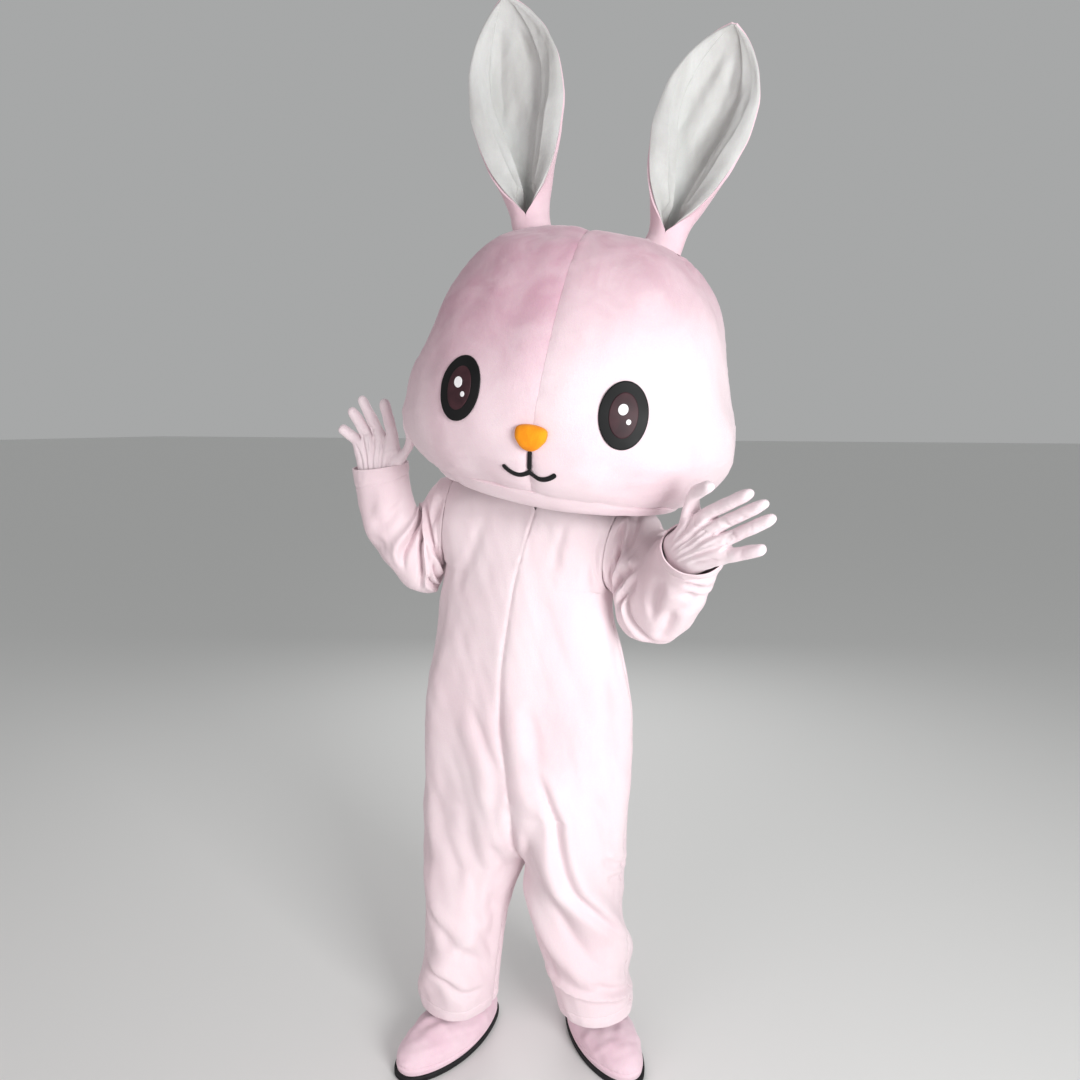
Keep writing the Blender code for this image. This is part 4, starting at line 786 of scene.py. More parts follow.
def fold_lift(at, height, u, v):
    """How far the largest folds lift the cloth, as in the solids."""
    lift = np.zeros(u.shape)
    for row in FOLDS:
        fold = dict(zip(FOLD_COLUMNS, row))
        share = (fold["top"] - height) / (fold["top"] - fold["bottom"])
        middle = mix(fold["top_at"], fold["bottom_at"], share)
        fade = smooth(-0.25, 0.15, share) * (1 - smooth(0.85, 1.25, share))
        lift += fold["depth"] * fade * hill(at - middle, fold["width"])
    edge = smooth(0.0, 0.16, u)
    return lift * mix(1.0, edge, smooth(1.6, 2.4, v)) * smooth(0.95, 1.35, v)


def panel_rows():
    """Rows of a suit panel, closer together along the hem's stitching."""
    leg = np.linspace(3.0, 4.0, 66)
    hem = 4.0 - HEM_DEPTH / 0.36
    stitched = hem + np.linspace(-0.018, 0.018, 13)
    parts = [np.linspace(0.0, 1.0, 40), np.linspace(1.0, 2.0, 84), np.linspace(2.0, 3.0, 34), leg, stitched, [3.985, 3.994]]
    rows = np.unique(np.round(np.concatenate(parts), 5))
    keep = [rows[0]]
    for value in rows[1:]:
        if value - keep[-1] > 0.0022:
            keep.append(value)
    keep[-1] = 4.0
    return np.array(keep)


def panel_columns():
    """Columns of a suit panel, closer together beside its seams."""
    edge = np.array([0.0, 0.006, 0.012, 0.020, 0.030, 0.044])
    return np.concatenate([edge, np.linspace(0.062, 0.938, 50), 1 - edge[::-1]])


def soften_rows(points, u, v):
    """Evens out the turn where the trunk divides into the legs, away from the seams."""
    where = smooth(2.2, 2.8, v) * (1 - smooth(3.15, 3.45, v)) * smooth(0.0, 0.2, u) * smooth(0.0, 0.2, 1 - u)
    where = where[1:-1, :, None] * 0.5
    above = np.linalg.norm(points[1:-1] - points[:-2], axis=2, keepdims=True) + 1e-6
    below = np.linalg.norm(points[2:] - points[1:-1], axis=2, keepdims=True) + 1e-6
    for _ in range(160):
        even = (points[:-2] * below + points[2:] * above) / (above + below)
        points[1:-1] += (even - points[1:-1]) * where
    return points


def make_suit():
    """Front and back panels, each from the shoulder to the hem."""
    rows = panel_rows()
    columns = panel_columns()
    for name, side in SIDES.items():
        for place, front in (("front", 1), ("back", -1)):
            v, u = np.meshgrid(rows, columns, indexing="ij")
            base = soften_rows(panel(side, front, u, v), u, v)
            normal = grid_normals(base)
            middle = vectors(TORSO_AT["centre_x"](base[..., 2]), 0.0, base[..., 2])
            legs = LEGS_AT[name]
            leg_middle = vectors(legs["centre_x"](base[..., 2]), legs["centre_y"](base[..., 2]), base[..., 2])
            middle = mix(middle, leg_middle, smooth(2.6, 3.0, v)[..., None])
            if (normal * (base - middle)).sum() < 0:
                normal = -normal
            below = v >= 1.0
            normal[..., 1] = np.where((u == 1) & below, 0.0, normal[..., 1])
            centre = (u == 0) & (v > NECK_SHARE) & (v <= 3)
            normal[..., 0] = np.where(centre, 0.0, normal[..., 0])
            normal[..., 1] = np.where((u == 0) & (v > 3), 0.0, normal[..., 1])
            normal = unit(normal)
            at = side * (u if front > 0 else 2 - u)
            height = base[..., 2]
            inside = smooth(0.0, 0.05, u) * smooth(0.0, 0.05, 1 - u)
            lift = fold_lift(at, height, u, v)
            calm = smooth(0.0, 0.16, u) * smooth(2.0, 3.0, v) + 1 - smooth(2.0, 3.0, v)
            lift += crease_lift(SUIT_CREASES, at, height, (QUARTER, 1.0)) * smooth(0.15, 0.6, v) * calm
            lift += 0.0013 * ripple(base, 5, (0.16, 0.16, 0.70)) * inside * smooth(0.1, 0.6, v)
            lift += 0.0005 * ripple(base, 9, (0.05, 0.05, 0.12)) * inside
            from_centre, from_side = u * QUARTER, (1 - u) * QUARTER
            pucker = 1 + 0.45 * ripple(base, 21 + front, (0.5, 0.5, 0.030))
            sewn = np.where(v > NECK_SHARE, 0.0020 * hill(from_centre, 0.0045), 0.0)
            sewn += 0.0016 * hill(from_side, 0.0045)
            lift -= sewn * pucker
            front_seam = smooth(0.47, 0.58, height) * (1 - smooth(0.74, 0.90, height)) * (front > 0)
            lift -= front_seam * 0.006 * hill(from_centre, 0.012)
            lift += front_seam * (0.006 if side > 0 else 0.001) * hill(from_centre - 0.030, 0.018)
            above_hem = (4.0 - v) * 0.36
            lift -= 0.0014 * hill(above_hem - HEM_DEPTH, 0.0016)
            full = 1 + 0.6 * ripple(base, 31, (0.05, 0.05, 0.5))
            lift += 0.0016 * hill(above_hem - HEM_DEPTH * 0.45, 0.010) * full
            shift = np.array([side, -front, 0.0]) * SEAM_GAP / 2
            outer = base + shift + normal * lift[..., None]
            inner = outer - normal * CLOTH
            piece = add_wall(f"cloth_suit_{place}_{name}", outer, inner)
            dress(piece, f"suit_{place}_{name}", SUIT_CLOTH)
            declare_cut(piece)


# Sleeves
SLEEVES_AT = {name: columns_of(rows, SLEEVE_COLUMNS, numbered=True) for name, rows in SLEEVES.items()}


def sleeve_point(side, turn, at):
    """The sleeve's outer surface from its first section to the cuff."""
    table = SLEEVES_AT["left" if side > 0 else "right"]
    last = len(SLEEVES["left"]) - 1

    def ends(share):
        place = np.clip(share, 0, 1) * last
        near = vectors(*[table[f"near_{k}"](place) for k in "xyz"])
        far = vectors(*[table[f"far_{k}"](place) for k in "xyz"])
        return near, far

    near, far = ends(at)
    near_a, far_a = ends(at - 0.05)
    near_b, far_b = ends(at + 0.05)
    along = unit((near_b + far_b) - (near_a + far_a))
    across = far - near
    sideways = unit(np.cross(across, along)) * side
    depth = table["half_depth"](np.clip(at, 0, 1) * last)
    angle = 2 * math.pi * turn
    return (near + far) / 2 - across / 2 * np.cos(angle)[..., None] + sideways * (depth * np.sin(angle))[..., None]


def armhole_ring(side, turn):
    """The armhole once round: 0 and 1 at the shoulder, 0.5 under the arm, going by the front."""
    before = turn <= 0.5
    along = np.where(before, 2 * turn, 2 - 2 * turn)
    ring = np.where(before[..., None], armhole(side, 1, along), armhole(side, -1, along))
    front = np.where(before, 1.0, -1.0)
    ease = np.minimum(1.0, np.minimum(6 * along, 6 * (1 - along))) * 0.5
    return tilt(ring) + vectors(side + 0 * ease, -front * ease, 0 * ease) * SEAM_GAP


def make_sleeves():
    """One tube a side, from the armhole round the bent elbow to the cuff."""
    columns = 112
    stitched = 1 - CUFF_DEPTH / SLEEVE_LONG + np.linspace(-0.016, 0.016, 11)
    parts = [np.linspace(0, SLEEVE_JOIN, 12), np.linspace(SLEEVE_JOIN, 1, 92), stitched, [0.006, 0.994]]
    rows = np.unique(np.round(np.concatenate(parts), 5))
    for name, side in SIDES.items():
        v, turn = np.meshgrid(rows, np.arange(columns) / columns, indexing="ij")
        body = sleeve_point(side, turn, (v - SLEEVE_JOIN) / (1 - SLEEVE_JOIN))
        start = armhole_ring(side, turn)
        first = sleeve_point(side, turn, np.zeros(v.shape))
        join = np.clip(v / SLEEVE_JOIN, 0, 1)[..., None]
        base = np.where((v < SLEEVE_JOIN)[..., None], mix(start, first, join), body)
        normal = grid_normals(base, wrap=True)
        if (normal * (base - base.mean(1, keepdims=True))).sum() < 0:
            normal = -normal
        normal[0, :, 0] = 0.0
        normal = unit(normal)
        lift = np.zeros(v.shape)
        for shift in (-1, 0, 1):
            lift += crease_lift(SLEEVE_CREASES[name], turn + shift, v, (SLEEVE_ROUND, SLEEVE_LONG))
        lift *= smooth(0.0, 0.10, v) * smooth(0.0, 0.08, 1 - v)
        lift += 0.0012 * ripple(base, 41, (0.09, 0.09, 0.09)) * smooth(0.0, 0.2, v) * smooth(0.0, 0.1, 1 - v)
        from_edge = (1 - v) * SLEEVE_LONG
        lift -= 0.0012 * hill(v * SLEEVE_LONG, 0.005) * (1 + 0.4 * ripple(base, 43, (0.03, 0.03, 0.03)))
        lift -= 0.0013 * hill(from_edge - CUFF_DEPTH, 0.0016)
        lift += 0.0012 * hill(from_edge - CUFF_DEPTH * 0.45, 0.009) * (1 + 0.5 * ripple(base, 47, (0.04, 0.04, 0.04)))
        outer = base + normal * lift[..., None]
        inner = outer - normal * CLOTH
        piece = add_wall(f"cloth_sleeve_{name}", outer, inner, wrap=True)
        dress(piece, f"sleeve_{name}", SUIT_CLOTH)
        declare_cut(piece)


# Head
HEAD_SECTIONS = columns_of(HEAD, HEAD_COLUMNS, numbered=True)
BASE_SECTIONS = columns_of(BASE, HEAD_COLUMNS, numbered=True)
HEAD_ROTATION = np.array(
    Matrix.Rotation(math.radians(HEAD_TURN), 3, "Z") @ Matrix.Rotation(math.radians(HEAD_ROLL), 3, "Y")
)


def to_room(points):
    """From the head's own frame to the room."""
    return np.asarray(points, float) @ HEAD_ROTATION.T + HEAD_AT


def power(value, exponent):
    return np.sign(value) * np.abs(value) ** exponent


def ring_points(sections, order, angle):
    """Points of squared-off sections: angle 0 at the front, 90 degrees on the left."""
    depth = np.where(np.cos(angle) > 0, sections["front"](order), sections["back"](order))
    exponent = 2 / HEAD_SQUARE
    half = sections["half_width"](order)
    x = half * power(np.sin(angle), exponent)
    y = -depth * power(np.cos(angle), exponent)
    return vectors(x, y, sections["height"](order))


# Creases of the head round the ears' feet, from above: width, depth, lip, path as (x, y)
CROWN_CREASES = [
    (0.006, 0.0060, 0.0030, (0.150, -0.030), (0.175, -0.055), (0.200, -0.090)),
    (0.005, 0.0045, 0.0020, (0.165, -0.015), (0.195, -0.030), (0.222, -0.050)),
    (0.005, 0.0040, -0.0020, (0.120, -0.040), (0.118, -0.065), (0.112, -0.090)),
    (0.005, 0.0035, 0.0020, (0.095, -0.030), (0.075, -0.050), (0.055, -0.065)),
    (0.005, 0.0040, 0.0020, (-0.120, -0.040), (-0.122, -0.065), (-0.130, -0.090)),
    (0.005, 0.0040, 0.0020, (-0.150, -0.028), (-0.172, -0.045), (-0.192, -0.068)),
    (0.005, 0.0035, -0.0020, (-0.095, -0.028), (-0.075, -0.045), (-0.058, -0.060)),
    (0.005, 0.0045, 0.0020, (0.130, 0.050), (0.138, 0.080), (0.150, 0.110)),
    (0.005, 0.0045, 0.0020, (-0.130, 0.050), (-0.138, 0.080), (-0.150, 0.110)),
    (0.005, 0.0040, -0.0020, (0.095, 0.040), (0.070, 0.060), (0.050, 0.085)),
    (0.005, 0.0040, 0.0020, (-0.095, 0.040), (-0.070, 0.060), (-0.050, 0.085)),
]


def head_swell(local):
    """Fullness beside the face seam and broad unevenness of the padding."""
    from_seam = np.abs(local[..., 0])
    lift = 0.0022 * hill(from_seam - 0.035, 0.030)
    return (lift + 0.0016 * ripple(local, 57, (0.20, 0.20, 0.20))) * smooth(0, 0.02, from_seam)


def head_top_lift(local):
    """Creases on the crown, seen from above, and the pinch where each ear is sewn on."""
    above = smooth(0.14, 0.20, local[..., 2])
    lift = crease_lift(CROWN_CREASES, local[..., 0], local[..., 1], (1.0, 1.0))
    for side in SIDES.values():
        away = np.hypot(local[..., 0] - side * EAR_AT[0], local[..., 1] - EAR_AT[1])
        lift -= 0.0030 * hill(away - 0.038, 0.010)
    return lift * above


def make_head():
    """Two padded halves with their seam over the top, and the panel under them."""
    order = np.concatenate([np.linspace(0, 2, 26), np.linspace(2, 12, 90)[1:]])
    share = np.concatenate([[0.0, 0.006, 0.012, 0.020], np.linspace(0.030, 0.970, 84), [0.980, 0.988, 0.994, 1.0]])
    for name, side in SIDES.items():
        down, turn = np.meshgrid(order, share, indexing="ij")
        local = ring_points(HEAD_SECTIONS, down, side * math.pi * turn)
        normal = grid_normals(local)
        centre = vectors(0.0, 0.0, local[..., 2] * 0.5)
        if (normal * (local - centre)).sum() < 0:
            normal = -normal
        normal[0] = (0.0, 0.0, 1.0)
        for edge in (0, -1):
            normal[1:, edge, 0] = 0.0
        normal = unit(normal)
        from_seam = np.abs(local[..., 0])
        dent = 0.0024 * hill(from_seam, 0.0040) * (1 + 0.35 * ripple(local, 53, (0.02, 0.02, 0.02)))
        lift = head_swell(local) - dent
        lift += 0.0004 * ripple(local, 59, (0.045, 0.045, 0.045)) * smooth(0, 0.02, from_seam)
        lift += head_top_lift(local)
        lift -= 0.0024 * hill(local[..., 2] + 0.226, 0.005)
        lift *= smooth(0.0, 0.5, down)
        points = local + vectors(side * SEAM_GAP / 2, 0.0, 0.0)
        outer = to_room(points + normal * lift[..., None])
        inner = to_room(points - normal * HEAD_WALL)
        piece = add_wall(f"plush_head_{name}", outer, inner, pole=True)
        # Painted shade: the right half, away from the key light, takes the darker copy of the plush.
        finish = HEAD_SHADED_SIDE if name == "right" else HEAD_CLOTH
        dress(piece, f"head_{name}", finish)
    columns = 160
    order, turn = np.meshgrid(np.linspace(0, 2, 26), np.arange(columns) / columns * 2 * math.pi, indexing="ij")
    local = ring_points(BASE_SECTIONS, order, turn)
    local[..., 2] += BASE_SIDE_RISE * np.sin(turn) ** 2 * order / 2
    flat = local * np.array([1.0, 1.0, 0.0])
    local = local - unit(flat) * SEAM_GAP * 0.9 - vectors(0.0, 0.0, SEAM_GAP * 0.9)
    normal = grid_normals(local, wrap=True)
    if normal[..., 2].sum() > 0:
        normal = -normal
    outwards = unit(vectors(0.0, 0.0, -1.0) + 0.9 * unit(flat))
    normal = unit(mix(outwards, normal, smooth(0.0, 0.8, order)[..., None]))
    lift = -0.0024 * hill(order * 0.03, 0.005) + 0.0010 * ripple(local, 61, (0.10, 0.10, 0.10))
    outer = to_room(local + normal * np.minimum(lift, 0.0)[..., None])
    inner = to_room(local - normal * HEAD_WALL)
    piece = add_wall("plush_head_base", outer, inner, wrap=True)
    dress(piece, "head_base", HEAD_CLOTH)


# Ears
EAR_SECTIONS = columns_of(EAR, EAR_COLUMNS)


def ear_point(across, share):
    """The ear's outer sheet in its own frame: across from -1 to 1 round the roll, share up the ear."""
    half = EAR_SECTIONS["half_width"](share)
    roll = np.radians(EAR_SECTIONS["roll"](share))
    radius = half / np.where(roll < math.pi / 2, np.sin(roll), 1.0)
    angle = across * roll
    deep = radius * np.cos(angle) - np.minimum(radius, half) + 0.030 * np.sin(math.pi * share)
    return vectors(radius * np.sin(angle), deep, share)


def head_height(x, y):
    """Height of the head's upper surface over points."""
    low, high = np.zeros(x.shape), np.full(x.shape, 8.0)
    for _ in range(24):
        middle = (low + high) / 2
        half = HEAD_SECTIONS["half_width"](middle)
        depth = np.where(y > 0, HEAD_SECTIONS["back"](middle), HEAD_SECTIONS["front"](middle))
        outside = (np.abs(x) / half) ** HEAD_SQUARE + (np.abs(y) / depth) ** HEAD_SQUARE > 1
        low, high = np.where(outside, middle, low), np.where(outside, high, middle)
    return HEAD_SECTIONS["height"](high)


def ear_in_head(name, across, share):
    """Ear points in the head's frame, with the ear's foot standing on the head."""
    side = SIDES[name]
    lean = np.array(Matrix.Rotation(math.radians(side * EAR_LEAN[name]), 3, "Y"))
    point = ear_point(across, share) * np.array([EAR_BREADTH[name], 1.0, EAR_LENGTH[name]])
    return point @ lean.T + np.array([side * EAR_AT[0], EAR_AT[1], EAR_AT[2]])


def ear_grid(name, reach, steps, shares):
    """Points and outward directions of an ear's sheet in the head's frame."""
    share, step = np.meshgrid(shares, steps, indexing="ij")
    across = step * reach(share)
    points = ear_in_head(name, across, share)
    normal = grid_normals(points)
    behind = normal[:, len(steps) // 2, 1].sum()
    return share, across, points, -normal if behind < 0 else normal


def make_ears():
    """Each ear: a pink outer sheet rolled shut at its foot, and a white padded lining."""
    for name in SIDES:
        def reach(share):
            return mix(1.010, EAR_EDGE, smooth(0.08, 0.22, share))

        steps = np.concatenate([[-1.0, -0.985], np.linspace(-0.965, 0.965, 56), [0.985, 1.0]])
        shares = np.concatenate([np.linspace(0.0, 0.10, 14), np.linspace(0.11, EAR_TIP, 88)])
        share, across, points, normal = ear_grid(name, reach, steps, shares)
        lift = 0.0010 * ripple(points, 67, (0.08, 0.08, 0.16)) * smooth(0.02, 0.10, share)
        lift *= smooth(0.0, 0.1, 1 - np.abs(across))
        outer = points + normal * lift[..., None]
        inner = points - normal * EAR_SHEET
        foot = 1 - np.clip(share / 0.07, 0, 1)
        for sheet in (outer, inner):
            top = head_height(sheet[0, :, 0], sheet[0, :, 1]) + SEAM_GAP * 1.5
            sheet[..., 2] += (top - sheet[0, :, 2])[None, :] * foot
        piece = add_wall(f"cloth_ear_{name}_outer", to_room(outer), to_room(inner))
        declare_cut(dress(piece, f"ear_{name}_outer", EAR_CLOTH))

        steps = np.concatenate([[-1.0, -0.99, -0.975], np.linspace(-0.955, 0.955, 104), [0.975, 0.99, 1.0]])
        shares = np.linspace(EAR_LINED_FROM, EAR_TIP, 96)
        share, across, points, normal = ear_grid(name, lambda s: np.ones(s.shape), steps, shares)
        ends = np.minimum(1.0, np.minimum((share - EAR_LINED_FROM) * 12, (1 - share) * 16))
        side = np.abs(across)
        left_share, right_share, left_height, right_height = LINING_HOLLOW[name]
        open_half = mix(*HOLLOW_HALF, smooth(0.12, 0.65, share))
        left_edge, right_edge = -left_share * open_half, right_share * open_half
        on_left = across < (left_edge + right_edge) / 2
        inwards = np.where(on_left, (across + 1) / (left_edge + 1), (1 - across) / (1 - right_edge))
        rim = np.sqrt(np.clip(inwards / 0.30, 0.0, 1.0)) * (1 - smooth(0.86, 1.02, inwards))
        tall = np.where(on_left, left_height, right_height) * (1 - 0.82 * smooth(0.42, 0.84, share))
        slope = np.clip((across - left_edge) / (right_edge - left_edge), 0.0, 1.0)
        slope = HOLLOW_SLOPE * slope * smooth(0.12, 0.24, share) * (1 - 0.85 * smooth(0.45, 0.85, share))
        slope *= smooth(0.25, 0.75, inwards)
        pad = 0.0025 + np.maximum(EAR_RIM * rim * tall, slope) * np.maximum(0.12, ends)
        half = EAR_SECTIONS["half_width"](share)
        folds = crease_lift(LINING_FOLDS[name], across, share, (0.07, EAR_LENGTH[name]))
        middle = smooth(0.15, 0.45, 1 - side)
        middle = middle * smooth(0.0, 0.12, share - EAR_LINED_FROM) * smooth(0.0, 0.15, 1 - share)
        pad += (0.003 * smooth(0.5, 0.8, share) + folds) * middle
        pad += 0.0004 * ripple(points, 71, (0.04, 0.04, 0.07)) * smooth(0.0, 0.1, 1 - side) * smooth(0.03, 0.08, half)
        pad = np.maximum(pad, 0.0022)
        back = EAR_SHEET + SEAM_GAP
        outer = to_room(points - normal * back)
        inner = to_room(points - normal * (back + pad)[..., None])
        piece = add_wall(f"plush_ear_{name}_lining", outer, inner)
        dress(piece, f"ear_{name}_inner", WHITE_CLOTH)


# Face
HEAD_ORDERS = np.linspace(0, len(HEAD) - 1, 1200)
HEAD_HEIGHTS = HEAD_SECTIONS["height"](HEAD_ORDERS)


def face_points(across, up, out):
    """Points over the face seen from the front, moved out from the head's surface."""
    def on_head(x, z):
        order = np.interp(-z, -HEAD_HEIGHTS, HEAD_ORDERS)
        half = HEAD_SECTIONS["half_width"](order)
        share = np.minimum(0.999, np.abs(x) / half)
        return vectors(x, -HEAD_SECTIONS["front"](order) * (1 - share**HEAD_SQUARE) ** (1 / HEAD_SQUARE), z)

    nudge = 0.002
    along = on_head(across + nudge, up) - on_head(across - nudge, up)
    rise = on_head(across, up + nudge) - on_head(across, up - nudge)
    normal = unit(np.cross(along, rise))
    normal = np.where(normal[..., 1:2] > 0, -normal, normal)
    spot = on_head(across, up)
    return to_room(spot + normal * (np.asarray(out) + np.maximum(0.0, head_swell(spot)))[..., None])


def add_plate(name, outline, centre, low, high, rings=12, dome=0.0, edge=0.0012):
    """A thin plate over the face with a rounded edge, from an outline in to its centre."""
    outline = np.array(outline)
    share = np.concatenate([np.linspace(1.0, 0.9, 5), np.linspace(0.9, 0.0, rings)[1:-1]])
    ring_a = mix(np.array(centre), outline[None], share[:, None, None])
    width = np.linalg.norm(outline - np.array(centre), axis=1).mean()
    inward = (1 - share) * width
    shoulder = np.sqrt(np.clip(1 - (1 - np.clip(inward / edge, 0, 1)) ** 2, 0, 1))
    rise = mix(0.35 * (high - low), high - low, shoulder) + dome * np.sqrt(np.maximum(0.0, 1 - share**2))
    top = face_points(ring_a[..., 0], ring_a[..., 1], (low + rise)[:, None] + 0 * ring_a[..., 0])
    under = face_points(ring_a[..., 0], ring_a[..., 1], low + 0 * ring_a[..., 0])
    rows, count = ring_a.shape[:2]
    tip = face_points(np.array([centre[0]]), np.array([centre[1]]), np.array([high + dome]))
    root = face_points(np.array([centre[0]]), np.array([centre[1]]), np.array([low]))
    points = np.concatenate([top.reshape(-1, 3), tip, under.reshape(-1, 3), root])
    size = rows * count + 1
    faces = []
    for level in (0, 1):
        first = level * size
        for row in range(rows - 1):
            for i in range(count):
                j = (i + 1) % count
                near, far = first + row * count, first + (row + 1) * count
                quad = [near + i, near + j, far + j, far + i]
                faces.append(quad if level else quad[::-1])
        last = first + (rows - 1) * count
        for i in range(count):
            corner = [last + i, last + (i + 1) % count, first + size - 1]
            faces.append(corner if level else corner[::-1])
    for i in range(count):
        j = (i + 1) % count
        faces.append([i, j, size + j, size + i])
    return add_mesh(name, points, faces)


def oval(centre, half_width, half_height, lean, count):
    """An oval outline seen from the front."""
    turn = math.radians(lean)
    angle = 2 * math.pi * np.arange(count) / count
    a, b = half_width * np.cos(angle), half_height * np.sin(angle)
    across = centre[0] + a * math.cos(turn) + b * math.sin(turn)
    up = centre[1] - a * math.sin(turn) + b * math.cos(turn)
    return np.stack([across, up], -1)


def make_eyes():
    """Black ovals, brown irises and two highlights on each."""
    for name, (across, up, half_width, half_height, lean) in EYES.items():
        centre = (across, up)
        low = SEAM_GAP * 3
        outline = oval(centre, half_width, half_height, lean, 96)
        plate = add_plate(f"eye_patch_{name}", outline, centre, low, low + EYE_PLATE)
        dress(plate, f"eye_{name}", EYE_BLACK)
        low += EYE_PLATE + SEAM_GAP
        outline = oval(centre, half_width * 0.58, half_height * 0.66, lean, 72)
        plate = add_plate(f"iris_patch_{name}", outline, centre, low, low + EYE_PLATE / 2)
        dress(plate, f"iris_{name}", EYE_BROWN)
        low += EYE_PLATE / 2 + SEAM_GAP
        for size, right, above, radius in (("large", -0.06, 0.16, 0.20), ("small", 0.24, -0.16, 0.10)):
            spot = (across + right * half_width, up + above * half_height)
            outline = oval(spot, radius * half_width, radius * half_width * 1.15, 0, 40)
            plate = add_plate(f"glint_{size}_{name}", outline, spot, low, low + EYE_PLATE / 2, rings=5, edge=0.0006)
            dress(plate, f"eye_light_{size}_{name}", EYE_WHITE)


def make_nose():
    """A padded nose with a flat top and a round foot."""
    across, up, half_width, half_height, dome = NOSE
    angle = 2 * math.pi * np.arange(96) / 96
    wave = np.sin(angle)
    height = half_height * np.where(wave > 0, power(wave, 0.6) * 0.62, wave * 1.2)
    outline = np.stack([across + half_width * np.cos(angle) * (1 - 0.10 * smooth(-0.3, -0.7, wave)), up + height], -1)
    piece = add_plate("nose_pad", outline, (across, up), SEAM_GAP * 3, 0.005, rings=22, dome=dome, edge=0.004)
    dress(piece, "nose", NOSE_CLOTH)


def add_stroke(name, path, node):
    """A rounded stitched band that follows the face along a path."""
    path = np.array(path)
    along = np.gradient(path, axis=0)
    along /= np.linalg.norm(along, axis=1, keepdims=True)
    angle = np.linspace(0, math.pi, 11)
    far = np.minimum(np.arange(len(path)), np.arange(len(path))[::-1]) * np.linalg.norm(path[1] - path[0])
    half = MOUTH_STROKE / 2
    cap = np.sqrt(np.clip(1 - (1 - np.clip(far / half, 0, 1)) ** 2, 0.02, 1)) * half
    offset = np.cos(angle)[None, :] * cap[:, None]
    x = path[:, 0, None] - along[:, 1, None] * offset
    z = path[:, 1, None] + along[:, 0, None] * offset
    rise = SEAM_GAP * 3 + 0.0004 + MOUTH_THICK * np.sin(angle)[None, :] * np.ones((len(path), 1))
    outer = face_points(x, z, rise)
    inner = face_points(x, z, SEAM_GAP * 3 + 0 * x)
    dress(add_wall(name, outer, inner), node, THREAD_BLACK)


def make_mouth():
    """A short stem under the nose and a curve to each side of it."""
    top = NOSE[1] - NOSE[3] * 1.2 - 0.001
    foot = top - 0.034
    add_stroke("mouth_stem_cord", [(NOSE[0], z) for z in np.linspace(top, foot, 40)], "mouth_stem")
    share = np.linspace(-1, 1, 140)
    rise = MOUTH_RISE * share**2 - MOUTH_FALL * np.abs(share)
    path = np.stack([NOSE[0] + MOUTH_HALF * share, foot - MOUTH_STROKE / 2 + rise], -1)
    add_stroke("mouth_curve_cord", path, "mouth_curve")


# Gloves
def hand_axes(name):
    """Wrist, palm, direction to the fingers, direction to the thumb and palm direction of a hand."""
    hand = {key: np.array(value) for key, value in HANDS[name].items()}
    along = unit(hand["palm"] - hand["wrist"])
    across = hand["index"] - hand["little"]
    across = unit(across - along * np.dot(across, along))
    return hand, along, across, np.cross(across, along)


def glove_cage(name):
    """A coarse hand with an open wrist: its points and faces."""
    hand, along, across, out = hand_axes(name)
    wrist, palm = hand["wrist"], hand["palm"]
    points, faces = [], []

    def ring(centre, half_width, half_depth, forward):
        first = len(points)
        for face in (1, -1):
            for i in range(5):
                share = 1 - i / 2
                bow = 1 - 0.35 * share**2
                edge = centre + across * half_width * share + out * face * half_depth * bow
                points.append(edge - forward * 0.010 * share**2)
        return first

    rings = [
        ring(wrist - along * 0.030, 0.045, 0.040, along * 0),
        ring(wrist + along * 0.022, 0.046, 0.042, along * 0),
        ring(mix(wrist, palm, 0.62), 0.049, 0.030, along * 0.3),
        ring(palm, PALM_HALF_WIDTH, PALM_HALF_DEPTH, along),
    ]
    loop = [0, 1, 2, 3, 4, 9, 8, 7, 6, 5]
    thumb_face = None
    for low, high in zip(rings, rings[1:]):
        for i in range(10):
            a, b = loop[i], loop[(i + 1) % 10]
            face = [low + a, low + b, high + b, high + a]
            if (a, b) == (5, 0) and low == rings[1]:
                thumb_face = face
                continue
            faces.append(face)

    def finger(base, tip, half, sections):
        corners = [points[i] for i in base]
        middle = sum(corners) / 4
        heading = unit(tip - middle)
        first = corners[1] - corners[0] + corners[2] - corners[3]
        first = unit(first - heading * np.dot(first, heading))
        second = corners[3] - corners[0] + corners[2] - corners[1]
        second = second - heading * np.dot(second, heading)
        second = unit(second - first * np.dot(second, first))
        previous = list(base)
        for share, size, aside in sections:
            centre = mix(middle, tip, share) + across * aside
            new = []
            for one, two in ((-1, -1), (1, -1), (1, 1), (-1, 1)):
                points.append(centre + first * one * half[0] * size + second * two * half[1] * size)
                new.append(len(points) - 1)
            for i in range(4):
                j = (i + 1) % 4
                faces.append([previous[i], previous[j], new[j], new[i]])
            previous = new
        faces.append(previous)

    top = rings[-1]
    for i, digit in enumerate(("index", "middle", "ring", "little")):
        finger([top + i, top + i + 1, top + i + 6, top + i + 5], hand[digit], FINGER_HALF, FINGER_SECTIONS)
    finger(thumb_face, hand["thumb"], THUMB_HALF, THUMB_SECTIONS)
    return np.array(points), faces


